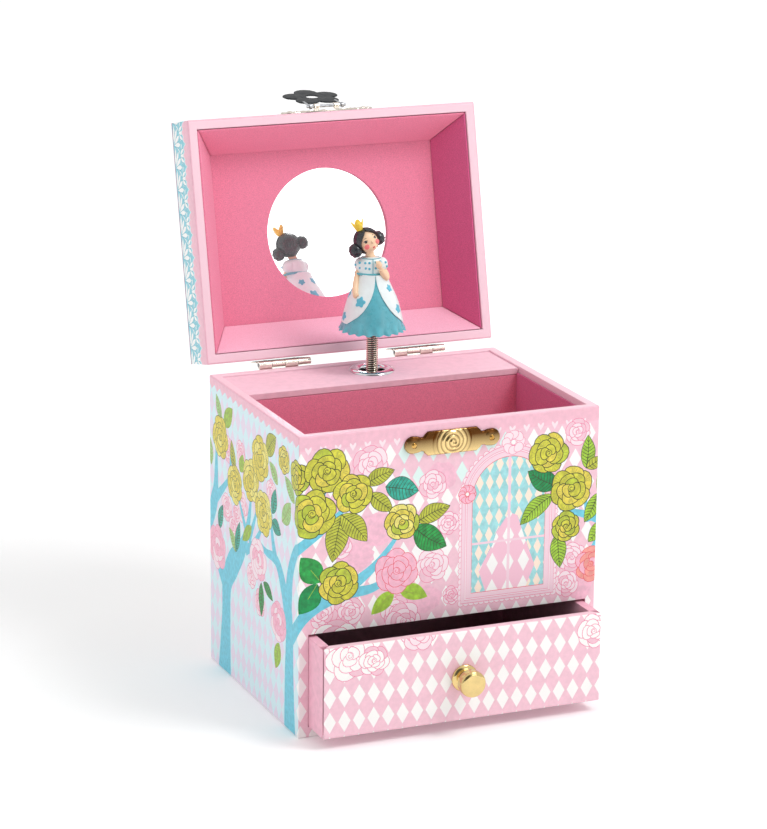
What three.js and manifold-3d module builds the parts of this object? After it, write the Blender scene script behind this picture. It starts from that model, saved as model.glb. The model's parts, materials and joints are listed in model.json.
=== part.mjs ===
// Ballerina jewellery box: a board case with a drawer, an opening lid with a mirror, a spring-mounted
// doll that folds down as the lid shuts, and a wound musical movement that turns it.
// Millimetres, +Z up, the box faces -Y. The origin is the middle of the case's underside.
// Lid parts are drawn as they sit when the lid is shut, then turned open about the hinge pins;
// clasp parts are drawn latched, then flipped back about the clasp pin.
import * as THREE from 'three';
import * as BufferGeometryUtils from 'three/addons/utils/BufferGeometryUtils.js';
import Module from 'manifold-3d';

const wasm = await Module();
wasm.setup();

// ---- driving dimensions -------------------------------------------------------------------
const CASE = { width: 150, depth: 117, height: 143.5, board: 4.6, bottom: 4.7 };
const GAP = 0.3; // clearance between boards that touch
const PLAY = 0.15; // running clearance of shafts, and the gap behind stamped metal
const OVERLAP = 0.1; // how far a feature runs into the body it belongs to
const BAY = { low: 5, high: 49.7 }; // drawer opening in the front board
const DRAWER = { pulled: 18, margin: 0.6, lift: 0.2, height: 43.2, side: 4.4, length: 101, base: 2.5 };
const KNOB = { flangeR: 6.5, headR: 6.3, length: 11, below: 1, holeR: 1.9, threadR: 1.75, thread: 5.5 };
const KNOB_SCREW = { r: 1.5, reach: 4.5, headR: 3.4, head: 1.6 };
const SHELF = { lift: 0.6, thick: 3 }; // board between the drawer bay and the compartment
const LINING = { sheet: 1, drop: 3 };
const DECK = { front: 20, drop: 0.8, board: 3 };
const LID = { depth: 24.4, rimGap: 1, open: 103, inset: 17, hollow: 19.5, panel: 1.2 };
const LID_LINING = { lip: 0.7, lipWidth: 1, heel: 2.6, topWidth: 1.7, mitre: 0.2 };
const MIRROR = { windowR: 31.7, glassR: 34, glass: 1.1 };
const HINGE = { y: 61, lift: 1.5, r: 1.7, pinR: 0.8, bore: 0.95, length: 27, at: 35.5, leaf: 9 };
const KNUCKLE = { count: 4, gap: 0.12, clear: 0.35, pinOver: 0.2 };
const SHEET = 0.8; // stamped metal thickness
const LATCH = { length: 47.6, height: 11.4, z: 134.3, endR: 4.1, neck: 3.4, neckAt: 9.6, shoulderAt: 11.4 };
const ROSETTE = { r: 6, boss: 2.2 };
const NAIL = { at: 19.4, holeR: 0.9, shankR: 0.7, headR: 1.4 };
const CLASP = { pinAbove: 8.6, pinOut: 3.1, pinR: 0.7, bore: 0.85, pinHalf: 10.2, back: 163.5 };
const LUG = { at: 5.2, half: 1.4, r: 1.5 };
const FLOWER = { below: 18.8, r: 14.6, petals: 5, petalPart: 0.4, petalSweep: 106, eyeR: 3, thick: 1 };
const ARM = { at: 8.5, half: 0.9, thick: 0.8, length: 9.8, eyeR: 1.4 };
const SPINDLE = { x: 2, y: 41, r: 1.5, below: 3, cupR: 2.3, cup: 3.6 };
const NECK = { r: 2.85, foot: 140.5, top: 167.3 };
const GROMMET = { flangeR: 10.6, neckR: 7.2, boreR: 6.3, rise: 1.3, depth: 3 };
const BARREL = { z: 106, r: 12.5, front: 45.3, back: 51.6, arborHoleR: 1.6 };
const WHEEL = { r: 4, thick: 3, offset: 9.5 };
const BEDPLATE = { left: -14, right: 44, low: 88, high: 124, thick: 1.5 };
const BRACKET = { half: 3, thick: 2.4, clear: 0.9, spindleHalf: 4, spindleAt: 14.2 };
const CYLINDER = { x: 22.5, y: 44.6, r: 5.5, low: 95.5, high: 114.5, axleR: 1, axleOver: 4 };
const COMB = { tip: 28.9, root: 43, seat: 8, middle: 105, teeth: 18, pitch: 1, slot: 0.3, thick: 1 };
const COMB_SCREW = { in: 4, r: 1, headR: 2.1, head: 1.35, reach: 3.8, holeR: 1.3, tappedR: 1.2, apart: 10 };
const GOVERNOR = { left: -11, right: 1, y: 46, z: 90.5, cheek: 1.4, cheekHalf: 2.5, bore: 0.8 };
const FAN = { axleR: 0.6, wormR: 1.1, worm: 5, blade: 2.6, bladeHalf: 2.4, thick: 0.7 };
const ARBOR = { r: 1.3, bottom: 1.9, inKey: 2 };
const KEY = { stemR: 2.6, shank: 6, boreR: 1.45, wingAt: 5.6, wingR: 5.3, holeAt: 6.2, holeR: 2.2, thick: 2 };
const DOLL = { hem: 163, hemR: 16.1, waist: 189.5, shoulder: 198, head: 206.4, headR: 6.6 };
const LIMB = { bunR: 2.9, sleeveR: 2.9, shoulderR: 1.5, elbowR: 1.3, wristR: 1.1, handR: 1.7 };

const frontY = -CASE.depth / 2;
const backY = CASE.depth / 2;
const innerX = CASE.width / 2 - CASE.board;
const innerFront = frontY + CASE.board;
const innerBack = backY - CASE.board;
const deckTop = CASE.height - DECK.drop;
const shelfLow = BAY.high + SHELF.lift;
const shelfTop = shelfLow + SHELF.thick;
const rimZ = CASE.height + LID.rimGap;
const hingeZ = CASE.height + HINGE.lift;

// ---- materials ----------------------------------------------------------------------------
function material(color, roughness, metalness) {
  return new THREE.MeshStandardMaterial({ color, roughness, metalness });
}

const finishes = {
  printedBoard: () => material(0xf6c4d6, 0.45, 0),
  pinkBoard: () => material(0xf7bcd0, 0.5, 0),
  lining: () => material(0xe06a97, 0.95, 0),
  drawerLining: () => material(0x5a0f2a, 0.95, 0),
  brass: () => material(0xd2a548, 0.2, 1),
  nickel: () => material(0xd9d6cf, 0.25, 1),
  steel: () => material(0xb9bcc0, 0.3, 1),
  black: () => material(0x23272b, 0.3, 0),
  mirror: () => material(0xffffff, 0.02, 1),
  doll: () => material(0x62b4c4, 0.35, 0),
  casting: () => material(0x9c9ea2, 0.5, 1),
  rubber: () => material(0x2a2a2a, 0.9, 0),
};

// ---- solids -------------------------------------------------------------------------------
function toManifold(geometry) {
  const bare = geometry.index ? geometry.toNonIndexed() : geometry.clone();
  bare.deleteAttribute('normal');
  bare.deleteAttribute('uv');
  const merged = BufferGeometryUtils.mergeVertices(bare, 1e-4);
  return new wasm.Manifold(new wasm.Mesh({
    numProp: 3,
    vertProperties: new Float32Array(merged.attributes.position.array),
    triVerts: new Uint32Array(merged.index.array),
  }));
}

function toGeometry(manifold) {
  const mesh = manifold.getMesh();
  const geometry = new THREE.BufferGeometry();
  geometry.setAttribute('position', new THREE.BufferAttribute(new Float32Array(mesh.vertProperties), 3));
  geometry.setIndex(new THREE.BufferAttribute(new Uint32Array(mesh.triVerts), 1));
  geometry.computeVertexNormals();
  return geometry;
}

function join(...geometries) {
  const solids = geometries.map(toManifold);
  return toGeometry(solids.slice(1).reduce((sum, solid) => sum.add(solid), solids[0]));
}

function cut(geometry, ...tools) {
  return toGeometry(tools.map(toManifold).reduce((rest, tool) => rest.subtract(tool), toManifold(geometry)));
}

function block([x0, x1], [y0, y1], [z0, z1]) {
  const geometry = new THREE.BoxGeometry(x1 - x0, y1 - y0, z1 - z0);
  return geometry.translate((x0 + x1) / 2, (y0 + y1) / 2, (z0 + z1) / 2);
}

// A round bar from one point to another along X, Y or Z, or any direction between.
function bar(from, to, radius, endRadius = radius, segments = 24) {
  const start = new THREE.Vector3(...from);
  const along = new THREE.Vector3(...to).sub(start);
  const geometry = new THREE.CylinderGeometry(endRadius, radius, along.length(), segments);
  const turn = new THREE.Quaternion().setFromUnitVectors(
    new THREE.Vector3(0, 1, 0), along.clone().normalize());
  geometry.applyQuaternion(turn);
  return geometry.translate(...start.addScaledVector(along, 0.5).toArray());
}

function ball([x, y, z], radius, [sx, sy, sz] = [1, 1, 1], segments = 16) {
  const geometry = new THREE.SphereGeometry(radius, segments, Math.round(segments * 0.6));
  return geometry.scale(sx, sy, sz).translate(x, y, z);
}

// A turned solid about a vertical axis; the profile lists radius and height.
function turned(profile, segments = 40) {
  const points = profile.map(([r, z]) => new THREE.Vector2(r, z));
  return new THREE.LatheGeometry(points, segments).rotateX(Math.PI / 2);
}

// A flat plate: an outline in X and Z, standing in the XZ plane from y to y + thickness.
function plate(shape, y, thickness, curveSegments = 8) {
  const geometry = new THREE.ExtrudeGeometry(shape, { depth: thickness, bevelEnabled: false, curveSegments });
  return geometry.rotateX(Math.PI / 2).translate(0, y + thickness, 0);
}

function circleHole(x, y, radius) {
  return new THREE.Path().absarc(x, y, radius, 0, Math.PI * 2, true);
}

function rectangle(x0, x1, y0, y1) {
  const shape = new THREE.Shape();
  shape.moveTo(x0, y0).lineTo(x1, y0).lineTo(x1, y1).lineTo(x0, y1).closePath();
  return shape;
}

// A closed prism between two rings of points that match one to one.
function loft(ringA, ringB) {
  const count = ringA.length;
  const faces = [];
  for (let i = 1; i < count - 1; i += 1) {
    faces.push([0, i + 1, i], [count, count + i, count + i + 1]);
  }
  for (let i = 0; i < count; i += 1) {
    const next = (i + 1) % count;
    faces.push([i, next, count + next], [i, count + next, count + i]);
  }
  const geometry = new THREE.BufferGeometry();
  const points = [...ringA, ...ringB].flat();
  geometry.setAttribute('position', new THREE.BufferAttribute(new Float32Array(points), 3));
  geometry.setIndex(faces.flat());
  const volume = new THREE.Vector3(...ringB[0]).sub(new THREE.Vector3(...ringA[0]));
  const normal = ringNormal(ringA);
  if (normal.dot(volume) < 0) geometry.setIndex(faces.map(([a, b, c]) => [a, c, b]).flat());
  geometry.computeVertexNormals();
  return geometry;
}

function ringNormal(ring) {
  const normal = new THREE.Vector3();
  ring.forEach((point, i) => {
    const next = ring[(i + 1) % ring.length];
    normal.add(new THREE.Vector3(...point).cross(new THREE.Vector3(...next)));
  });
  return normal;
}

// ---- assembly helpers ---------------------------------------------------------------------
const model = new THREE.Group();

const lidGroup = new THREE.Group();
lidGroup.position.set(0, HINGE.y, hingeZ);
lidGroup.rotation.x = -THREE.MathUtils.degToRad(LID.open);
model.add(lidGroup);

const claspPin = new THREE.Vector3(0, frontY - CLASP.pinOut, rimZ + CLASP.pinAbove);
const claspGroup = new THREE.Group();
claspGroup.position.set(0, claspPin.y - HINGE.y, claspPin.z - hingeZ);
claspGroup.rotation.x = -THREE.MathUtils.degToRad(CLASP.back);
lidGroup.add(claspGroup);

const slideGroup = new THREE.Group();
slideGroup.position.y = -DRAWER.pulled;
model.add(slideGroup);

function addPart(name, geometry, finish, group = model) {
  const mesh = new THREE.Mesh(geometry, finishes[finish]());
  mesh.name = name;
  group.add(mesh);
}

function addLidPart(name, geometry, finish) {
  addPart(name, geometry.translate(0, -HINGE.y, -hingeZ), finish, lidGroup);
}

function addClaspPart(name, geometry, finish) {
  addPart(name, geometry.translate(0, -claspPin.y, -claspPin.z), finish, claspGroup);
}

// ---- case boards --------------------------------------------------------------------------
function buildCase() {
  const halfWidth = CASE.width / 2;
  const front = rectangle(-halfWidth, halfWidth, 0, CASE.height);
  const opening = new THREE.Path();
  opening.moveTo(-innerX, BAY.low).lineTo(-innerX, BAY.high);
  opening.lineTo(innerX, BAY.high).lineTo(innerX, BAY.low).closePath();
  front.holes.push(opening);
  addPart('case_front', plate(front, frontY, CASE.board), 'printedBoard');

  const back = rectangle(-halfWidth, halfWidth, 0, CASE.height);
  back.holes.push(circleHole(SPINDLE.x, BARREL.z, KEY.stemR + 4 * GAP));
  addPart('case_back', plate(back, innerBack, CASE.board), 'printedBoard');

  const between = [innerFront + GAP, innerBack - GAP];
  addPart('case_left', block([-halfWidth, -innerX], between, [0, CASE.height]), 'printedBoard');
  addPart('case_right', block([innerX, halfWidth], between, [0, CASE.height]), 'printedBoard');
  const across = [-innerX + GAP, innerX - GAP];
  addPart('case_bottom', block(across, between, [0, CASE.bottom]), 'pinkBoard');
  addPart('drawer_bay_shelf', block(across, between, [shelfLow, shelfTop]), 'pinkBoard');
}

// ---- jewellery compartment ----------------------------------------------------------------
function buildCompartment() {
  const partitionFront = DECK.front;
  const top = CASE.height - LINING.drop;
  const floor = shelfTop + GAP;
  const skin = LINING.sheet;
  const across = [-innerX + GAP, innerX - GAP];
  const depth = [innerFront + GAP, partitionFront - GAP];
  addPart('compartment_floor', block(across, depth, [floor, floor + skin]), 'lining');

  const height = [floor + skin + GAP, top];
  const frontSkin = [innerFront + GAP, innerFront + GAP + skin];
  addPart('lining_front', block(across, frontSkin, height), 'lining');
  const sideRun = [frontSkin[1] + GAP, partitionFront - GAP];
  addPart('lining_left', block([-innerX + GAP, -innerX + GAP + skin], sideRun, height), 'lining');
  addPart('lining_right', block([innerX - GAP - skin, innerX - GAP], sideRun, height), 'lining');

  const partition = [partitionFront, partitionFront + DECK.board];
  const deckUnder = deckTop - DECK.board;
  addPart('movement_partition', block(across, partition, [floor, deckUnder - GAP]), 'lining');

  const deck = rectangle(across[0], across[1], partitionFront, innerBack - GAP);
  deck.holes.push(circleHole(SPINDLE.x, SPINDLE.y, GROMMET.neckR + GAP));
  const board = new THREE.ExtrudeGeometry(deck, { depth: DECK.board, bevelEnabled: false });
  addPart('music_deck', board.translate(0, 0, deckUnder), 'pinkBoard');

  const { flangeR, neckR, boreR, rise } = GROMMET;
  const seat = deckTop + PLAY;
  const foot = seat - GROMMET.depth;
  const ring = turned([
    [boreR, foot], [neckR, foot], [neckR, seat], [flangeR, seat], [flangeR, seat + 0.4],
    [flangeR - 0.9, seat + rise * 0.85], [flangeR - 2, seat + rise], [boreR + 1, seat + rise * 0.8],
    [boreR, seat + 0.3], [boreR, foot],
  ], 36);
  addPart('spindle_grommet', ring.translate(SPINDLE.x, SPINDLE.y, 0), 'nickel');
}

// ---- drawer -------------------------------------------------------------------------------
function buildDrawer() {
  const half = innerX - DRAWER.margin;
  const low = BAY.low + DRAWER.lift;
  const high = low + DRAWER.height;
  const rear = frontY + DRAWER.length;
  const side = DRAWER.side;
  const frontRear = frontY + CASE.board;

  const face = rectangle(-half, half, low, high);
  const knobZ = (low + high) / 2 - KNOB.below;
  face.holes.push(circleHole(0, knobZ, KNOB.holeR));
  addPart('drawer_front', plate(face, frontY, CASE.board), 'printedBoard', slideGroup);
  const run = [frontRear + GAP, rear];
  addPart('drawer_left', block([-half, -half + side], run, [low, high]), 'pinkBoard', slideGroup);
  addPart('drawer_right', block([half - side, half], run, [low, high]), 'pinkBoard', slideGroup);
  const between = [-half + side + GAP, half - side - GAP];
  addPart('drawer_back', block(between, [rear - side, rear], [low, high]), 'pinkBoard', slideGroup);
  const base = [frontRear + GAP, rear - side - GAP];
  addPart('drawer_bottom', block(between, base, [low, low + DRAWER.base]), 'pinkBoard', slideGroup);
  const felt = [low + DRAWER.base + GAP, low + DRAWER.base + GAP + LINING.sheet];
  addPart('drawer_felt', block(between, base, felt), 'drawerLining', slideGroup);

  const { flangeR, headR, length } = KNOB;
  const knob = turned([
    [0, PLAY], [flangeR, PLAY], [flangeR, 0.9], [flangeR - 1.2, 1.8], [3.6, 2.4], [3.1, 3.6],
    [3.5, 4.6], [headR - 0.7, 5.4], [headR, 6.3], [headR, 9.6], [headR - 0.5, 10.6],
    [headR - 1.4, length], [0, length],
  ], 32).rotateX(Math.PI / 2);
  const thread = bar([0, 1, 0], [0, -KNOB.thread, 0], KNOB.threadR);
  addPart('drawer_knob', cut(knob, thread).translate(0, frontY, knobZ), 'brass', slideGroup);
  const headY = frontRear + GAP;
  const { r, reach, head } = KNOB_SCREW;
  const screw = join(
    bar([0, frontY - reach, knobZ], [0, headY + OVERLAP, knobZ], r),
    bar([0, headY, knobZ], [0, headY + head, knobZ], KNOB_SCREW.headR),
  );
  addPart('knob_screw', screw, 'steel', slideGroup);
}

// ---- latch plate, with its two nails ------------------------------------------------------
// The outline is a wide middle with bevelled shoulders, narrow necks and round ends.
function latchOutline() {
  const half = LATCH.length / 2;
  const tall = LATCH.height / 2;
  const { endR, neck, neckAt, shoulderAt } = LATCH;
  const top = [[half - neckAt, neck], [half - shoulderAt, tall],
    [shoulderAt - half, tall], [neckAt - half, neck]];
  const shape = new THREE.Shape();
  shape.moveTo(half - endR, -endR);
  shape.absarc(half - endR, 0, endR, -Math.PI / 2, Math.PI / 2, false);
  top.forEach(([x, z]) => shape.lineTo(x, z));
  shape.lineTo(-half + endR, endR);
  shape.absarc(-half + endR, 0, endR, Math.PI / 2, Math.PI * 1.5, false);
  top.reverse().forEach(([x, z]) => shape.lineTo(x, -z));
  shape.closePath();
  return shape;
}

function buildLatch() {
  const shape = latchOutline();
  const nailXs = { left: -NAIL.at, right: NAIL.at };
  Object.values(nailXs).forEach((x) => shape.holes.push(circleHole(x, 0, NAIL.holeR)));
  const face = -PLAY - SHEET;
  const crest = ROSETTE.boss - SHEET;
  const rosette = turned([
    [0, 0], [ROSETTE.r, 0], [ROSETTE.r - 0.4, 0.7], [ROSETTE.r - 1.4, 1.1],
    [3.2, crest], [2.4, crest], [1.8, crest + 0.5], [0, crest + 0.6],
  ], 32).rotateX(Math.PI / 2).translate(0, face + OVERLAP, 0);
  const body = join(plate(shape, face, SHEET), rosette);
  addPart('latch_plate', body.translate(0, frontY, LATCH.z), 'brass');
  const over = PLAY + SHEET + PLAY;
  const { shankR, headR } = NAIL;
  Object.entries(nailXs).forEach(([side, x]) => {
    const nail = turned([
      [0, PLAY], [shankR, PLAY], [shankR, over], [headR, over], [headR - 0.15, over + 0.35],
      [headR / 2, over + 0.65], [0, over + 0.75],
    ], 16).rotateX(Math.PI / 2);
    addPart(`latch_nail_${side}`, nail.translate(x, frontY, LATCH.z), 'brass');
  });
}

// ---- hinges -------------------------------------------------------------------------------
// One leaf of a butt hinge: a plate against the board and two of the four knuckles. The other
// leaf's knuckles turn in the notches. up is 1 for the lid's leaf and -1 for the case's.
function hingeLeaf(centreX, up, knuckles) {
  const pitch = HINGE.length / KNUCKLE.count;
  const leafY = [backY + GAP, backY + GAP + SHEET];
  const clear = HINGE.r + KNUCKLE.clear;
  const [start, stop] = [centreX - HINGE.length / 2, centreX + HINGE.length / 2];
  const rise = (z0, z1) => [Math.min(z0, z1) + hingeZ, Math.max(z0, z1) + hingeZ];
  let leaf = block([start, stop], leafY, rise(up * clear, up * (HINGE.leaf + clear)));
  knuckles.forEach((index) => {
    const x0 = start + index * pitch + KNUCKLE.gap;
    const x1 = start + (index + 1) * pitch - KNUCKLE.gap;
    const strap = block([x0, x1], leafY, rise(up * 0.2, up * (clear + 0.5)));
    leaf = join(leaf, strap, bar([x0, HINGE.y, hingeZ], [x1, HINGE.y, hingeZ], HINGE.r, HINGE.r, 28));
  });
  const bore = bar([start - 1, HINGE.y, hingeZ], [stop + 1, HINGE.y, hingeZ], HINGE.bore, HINGE.bore, 16);
  return cut(leaf, bore);
}

function buildHinges() {
  Object.entries({ left: -HINGE.at, right: HINGE.at }).forEach(([side, x]) => {
    addPart(`hinge_case_leaf_${side}`, hingeLeaf(x, -1, [0, 2]), 'nickel');
    addLidPart(`hinge_lid_leaf_${side}`, hingeLeaf(x, 1, [1, 3]), 'nickel');
    const reach = HINGE.length / 2 + KNUCKLE.pinOver;
    const pin = bar([x - reach, HINGE.y, hingeZ], [x + reach, HINGE.y, hingeZ], HINGE.pinR, HINGE.pinR, 16);
    addPart(`hinge_pin_${side}`, pin, 'steel');
  });
}

// ---- lid ----------------------------------------------------------------------------------
// A slanted lining board with mitred ends. Its section lists distance in from the wall and height
// above the rim; place maps (in from the wall, along the wall, height) to a point.
function mitredBoard(halfLength, place) {
  const { lip, lipWidth, heel, topWidth, mitre } = LID_LINING;
  const foot = LID.inset - CASE.board;
  const top = LID.hollow - GAP;
  const section = [[GAP, lip], [lipWidth, lip], [foot, top], [foot - topWidth, top], [GAP, heel]];
  const end = (sign) => section.map(([s, w]) => place(s, sign * (halfLength - s - mitre), w));
  return loft(end(-1), end(1));
}

function buildLid() {
  const halfWidth = CASE.width / 2;
  const rise = [rimZ, rimZ + LID.depth];
  const between = [innerFront + GAP, innerBack - GAP];
  addLidPart('lid_front', block([-halfWidth, halfWidth], [frontY, innerFront], rise), 'printedBoard');
  addLidPart('lid_back', block([-halfWidth, halfWidth], [innerBack, backY], rise), 'printedBoard');
  addLidPart('lid_left', block([-halfWidth, -innerX], between, rise), 'printedBoard');
  addLidPart('lid_right', block([innerX, halfWidth], between, rise), 'printedBoard');

  const across = [-innerX + GAP, innerX - GAP];
  const panelLow = rimZ + LID.hollow;
  const topLow = panelLow + LID.panel + GAP;
  const top = block(across, between, [topLow, rimZ + LID.depth]);
  const pocket = bar([0, 0, topLow - 1], [0, 0, topLow + MIRROR.glass + GAP], MIRROR.glassR + GAP,
    MIRROR.glassR + GAP, 72);
  addLidPart('lid_top', cut(top, pocket), 'printedBoard');

  const panel = rectangle(across[0], across[1], between[0], between[1]);
  panel.holes.push(circleHole(0, 0, MIRROR.windowR));
  const sheetOptions = { depth: LID.panel, bevelEnabled: false, curveSegments: 36 };
  const sheet = new THREE.ExtrudeGeometry(panel, sheetOptions);
  addLidPart('mirror_panel', sheet.translate(0, 0, panelLow), 'lining');
  const glass = bar([0, 0, topLow], [0, 0, topLow + MIRROR.glass], MIRROR.glassR, MIRROR.glassR, 72);
  addLidPart('mirror', glass, 'mirror');

  const boards = {
    front: mitredBoard(innerX, (s, along, w) => [along, innerFront + s, rimZ + w]),
    back: mitredBoard(innerX, (s, along, w) => [along, innerBack - s, rimZ + w]),
    left: mitredBoard(innerBack, (s, along, w) => [-innerX + s, along, rimZ + w]),
    right: mitredBoard(innerBack, (s, along, w) => [innerX - s, along, rimZ + w]),
  };
  Object.entries(boards).forEach(([side, geometry]) => addLidPart(`lid_lining_${side}`, geometry, 'lining'));
}

// ---- clasp --------------------------------------------------------------------------------
// A five-petal flower plate with a round eye, hung from its pin by two arms.
function flowerShape() {
  const petalR = FLOWER.r * FLOWER.petalPart;
  const ring = FLOWER.r - petalR;
  const shape = new THREE.Shape();
  const sweep = THREE.MathUtils.degToRad(FLOWER.petalSweep);
  for (let i = 0; i < FLOWER.petals; i += 1) {
    const angle = -Math.PI / 2 + (i * Math.PI * 2) / FLOWER.petals;
    const centre = [ring * Math.cos(angle), ring * Math.sin(angle)];
    shape.absarc(centre[0], centre[1], petalR, angle - sweep, angle + sweep, false);
  }
  shape.closePath();
  shape.holes.push(circleHole(0, 0, FLOWER.eyeR));
  return shape;
}

// A round bar of the given half length along X, through the point (0, y, 0).
function crossBar(half, y, radius, segments = 16) {
  return bar([-half, y, 0], [half, y, 0], radius, radius, segments);
}

function buildClasp() {
  const face = -PLAY - SHEET;
  const lugs = [-LUG.at, LUG.at].map((x) => join(
    block([x - LUG.half, x + LUG.half], [-CLASP.pinOut, face + OVERLAP], [-LUG.r, LUG.r]),
    crossBar(LUG.half, -CLASP.pinOut, LUG.r, 20).translate(x, 0, 0),
  ));
  const body = join(plate(latchOutline(), face, SHEET), ...lugs);
  const bore = crossBar(CLASP.pinHalf + 1, -CLASP.pinOut, CLASP.bore);
  addLidPart('clasp_plate', cut(body, bore).translate(0, frontY, claspPin.z), 'nickel');
  const pin = crossBar(CLASP.pinHalf, 0, CLASP.pinR);
  addLidPart('clasp_pin', pin.translate(...claspPin.toArray()), 'steel');

  const arms = [-ARM.at, ARM.at].map((x) => join(
    block([x - ARM.half, x + ARM.half], [-ARM.thick / 2, ARM.thick / 2], [-ARM.length, 0]),
    crossBar(ARM.half, 0, ARM.eyeR, 20).translate(x, 0, 0),
  ));
  const petals = plate(flowerShape(), -FLOWER.thick / 2, FLOWER.thick).translate(0, 0, -FLOWER.below);
  const flower = cut(join(petals, ...arms), crossBar(CLASP.pinHalf + 1, 0, CLASP.bore));
  addClaspPart('clasp_flower', flower.translate(...claspPin.toArray()), 'black');
}

// ---- musical movement ---------------------------------------------------------------------
function buildMovement() {
  const { x, y } = SPINDLE;
  const plateBack = innerBack - GAP;
  const plateFront = plateBack - BEDPLATE.thick;
  const outline = rectangle(BEDPLATE.left, BEDPLATE.right, BEDPLATE.low, BEDPLATE.high);
  outline.holes.push(circleHole(x, BARREL.z, KEY.stemR + 0.4));
  const combSeat = COMB.root - COMB.seat;
  const combBack = CYLINDER.y + COMB.thick / 2 + PLAY;
  const { half, thick, clear, spindleHalf } = BRACKET;
  const bracket = (atX, atY, reach, z) => block([atX - reach, atX + reach],
    [atY - reach, plateFront + OVERLAP], [z, z + thick]);
  const bed = join(
    plate(outline, plateFront, BEDPLATE.thick, 20),
    block([combSeat, COMB.root], [combBack, plateFront + OVERLAP], [COMB.middle - 9, COMB.middle + 9]),
    bracket(CYLINDER.x, CYLINDER.y, half, CYLINDER.low - clear - thick),
    bracket(CYLINDER.x, CYLINDER.y, half, CYLINDER.high + clear),
    bracket(x, y, spindleHalf, BARREL.z + BRACKET.spindleAt),
  );
  const screwX = combSeat + COMB_SCREW.in;
  const tapped = combScrewHeights().map((z) => bar([screwX, combBack - 1, z],
    [screwX, combBack + 3.4, z], COMB_SCREW.tappedR, COMB_SCREW.tappedR, 12));
  const bearings = [
    upright(CYLINDER.x, CYLINDER.y, BEDPLATE.low, BEDPLATE.high, CYLINDER.axleR + PLAY, 16),
    upright(x, y, BARREL.z + WHEEL.offset, BEDPLATE.high, SPINDLE.r + PLAY, 20),
  ];
  addPart('movement_bedplate', cut(bed, ...bearings, ...tapped), 'casting');

  const { r, front } = BARREL;
  const long = BARREL.back - front;
  const drum = turned([
    [0, 0], [r - 1.5, 0], [r - 1.5, 0.6], [r, 0.9], [r, 4.6], [r - 0.6, 5.2], [r - 0.6, long], [0, long],
  ], 40).rotateX(-Math.PI / 2).translate(x, front, BARREL.z);
  const arborHole = bar([x, front + 1.5, BARREL.z], [x, BARREL.back + 1, BARREL.z],
    BARREL.arborHoleR, BARREL.arborHoleR, 16);
  addPart('spring_barrel', cut(drum, arborHole), 'nickel');

  const { low, high, axleR, axleOver } = CYLINDER;
  const axle = upright(CYLINDER.x, CYLINDER.y, low - axleOver, high + axleOver, axleR, 16);
  const pins = upright(CYLINDER.x, CYLINDER.y, low, high, CYLINDER.r, 36);
  addPart('pinned_cylinder', join(pins, axle), 'brass');
}

// A vertical round bar at (x, y) between two heights.
function upright(x, y, low, high, radius, segments) {
  return bar([x, y, low], [x, y, high], radius, radius, segments);
}

function combScrewHeights() {
  return [COMB.middle - COMB_SCREW.apart / 2, COMB.middle + COMB_SCREW.apart / 2];
}

// The flat comb: slots run in from the tips and leave one tooth for each note.
function buildComb() {
  const { tip, root, teeth, pitch } = COMB;
  const seat = root - COMB.seat;
  const low = COMB.middle - (teeth * pitch) / 2;
  const edge = COMB.slot / 2;
  const shape = new THREE.Shape();
  shape.moveTo(root, low).lineTo(root, low + teeth * pitch);
  for (let i = teeth - 1; i >= 0; i -= 1) {
    const z = low + i * pitch;
    shape.lineTo(tip, z + pitch - (i === teeth - 1 ? 0 : edge));
    shape.lineTo(tip, z + (i === 0 ? 0 : edge));
    if (i > 0) shape.lineTo(seat - 0.6, z + edge).lineTo(seat - 0.6, z - edge);
  }
  shape.closePath();
  const screwX = seat + COMB_SCREW.in;
  combScrewHeights().forEach((z) => shape.holes.push(circleHole(screwX, z, COMB_SCREW.holeR)));
  const face = CYLINDER.y - COMB.thick / 2;
  addPart('comb', plate(shape, face, COMB.thick), 'steel');
  const { r, headR, head, reach } = COMB_SCREW;
  ['lower', 'upper'].forEach((level, i) => {
    const z = combScrewHeights()[i];
    const screw = join(
      bar([screwX, face - PLAY - head, z], [screwX, face - PLAY, z], headR, headR, 18),
      bar([screwX, face - 2 * PLAY, z], [screwX, face + reach, z], r, r, 12),
    );
    addPart(`comb_screw_${level}`, screw, 'steel');
  });
}

// The air brake: a two-bladed fan on a worm, held by two cheeks.
function buildGovernor() {
  const { left, right, y, z, cheek, cheekHalf, bore } = GOVERNOR;
  const plateFront = innerBack - GAP - BEDPLATE.thick;
  Object.entries({ left, right }).forEach(([side, x]) => {
    const stand = cut(
      block([x, x + cheek], [y - cheekHalf, plateFront - PLAY], [z - cheekHalf, z + cheekHalf]),
      bar([x - 1, y, z], [x + cheek + 1, y, z], bore, bore, 12),
    );
    addPart(`governor_cheek_${side}`, stand, 'casting');
  });
  const { axleR, wormR, worm, blade, bladeHalf, thick } = FAN;
  const bladeEnd = right - 0.6;
  const fan = join(
    bar([left + 0.2, y, z], [right + cheek - 0.2, y, z], axleR, axleR, 12),
    bar([left + 2, y, z], [left + 2 + worm, y, z], wormR, wormR, 16),
    block([bladeEnd - blade, bladeEnd], [y - bladeHalf, y + bladeHalf], [z - thick / 2, z + thick / 2]),
  );
  addPart('governor_fan', fan, 'steel');
}

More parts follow.
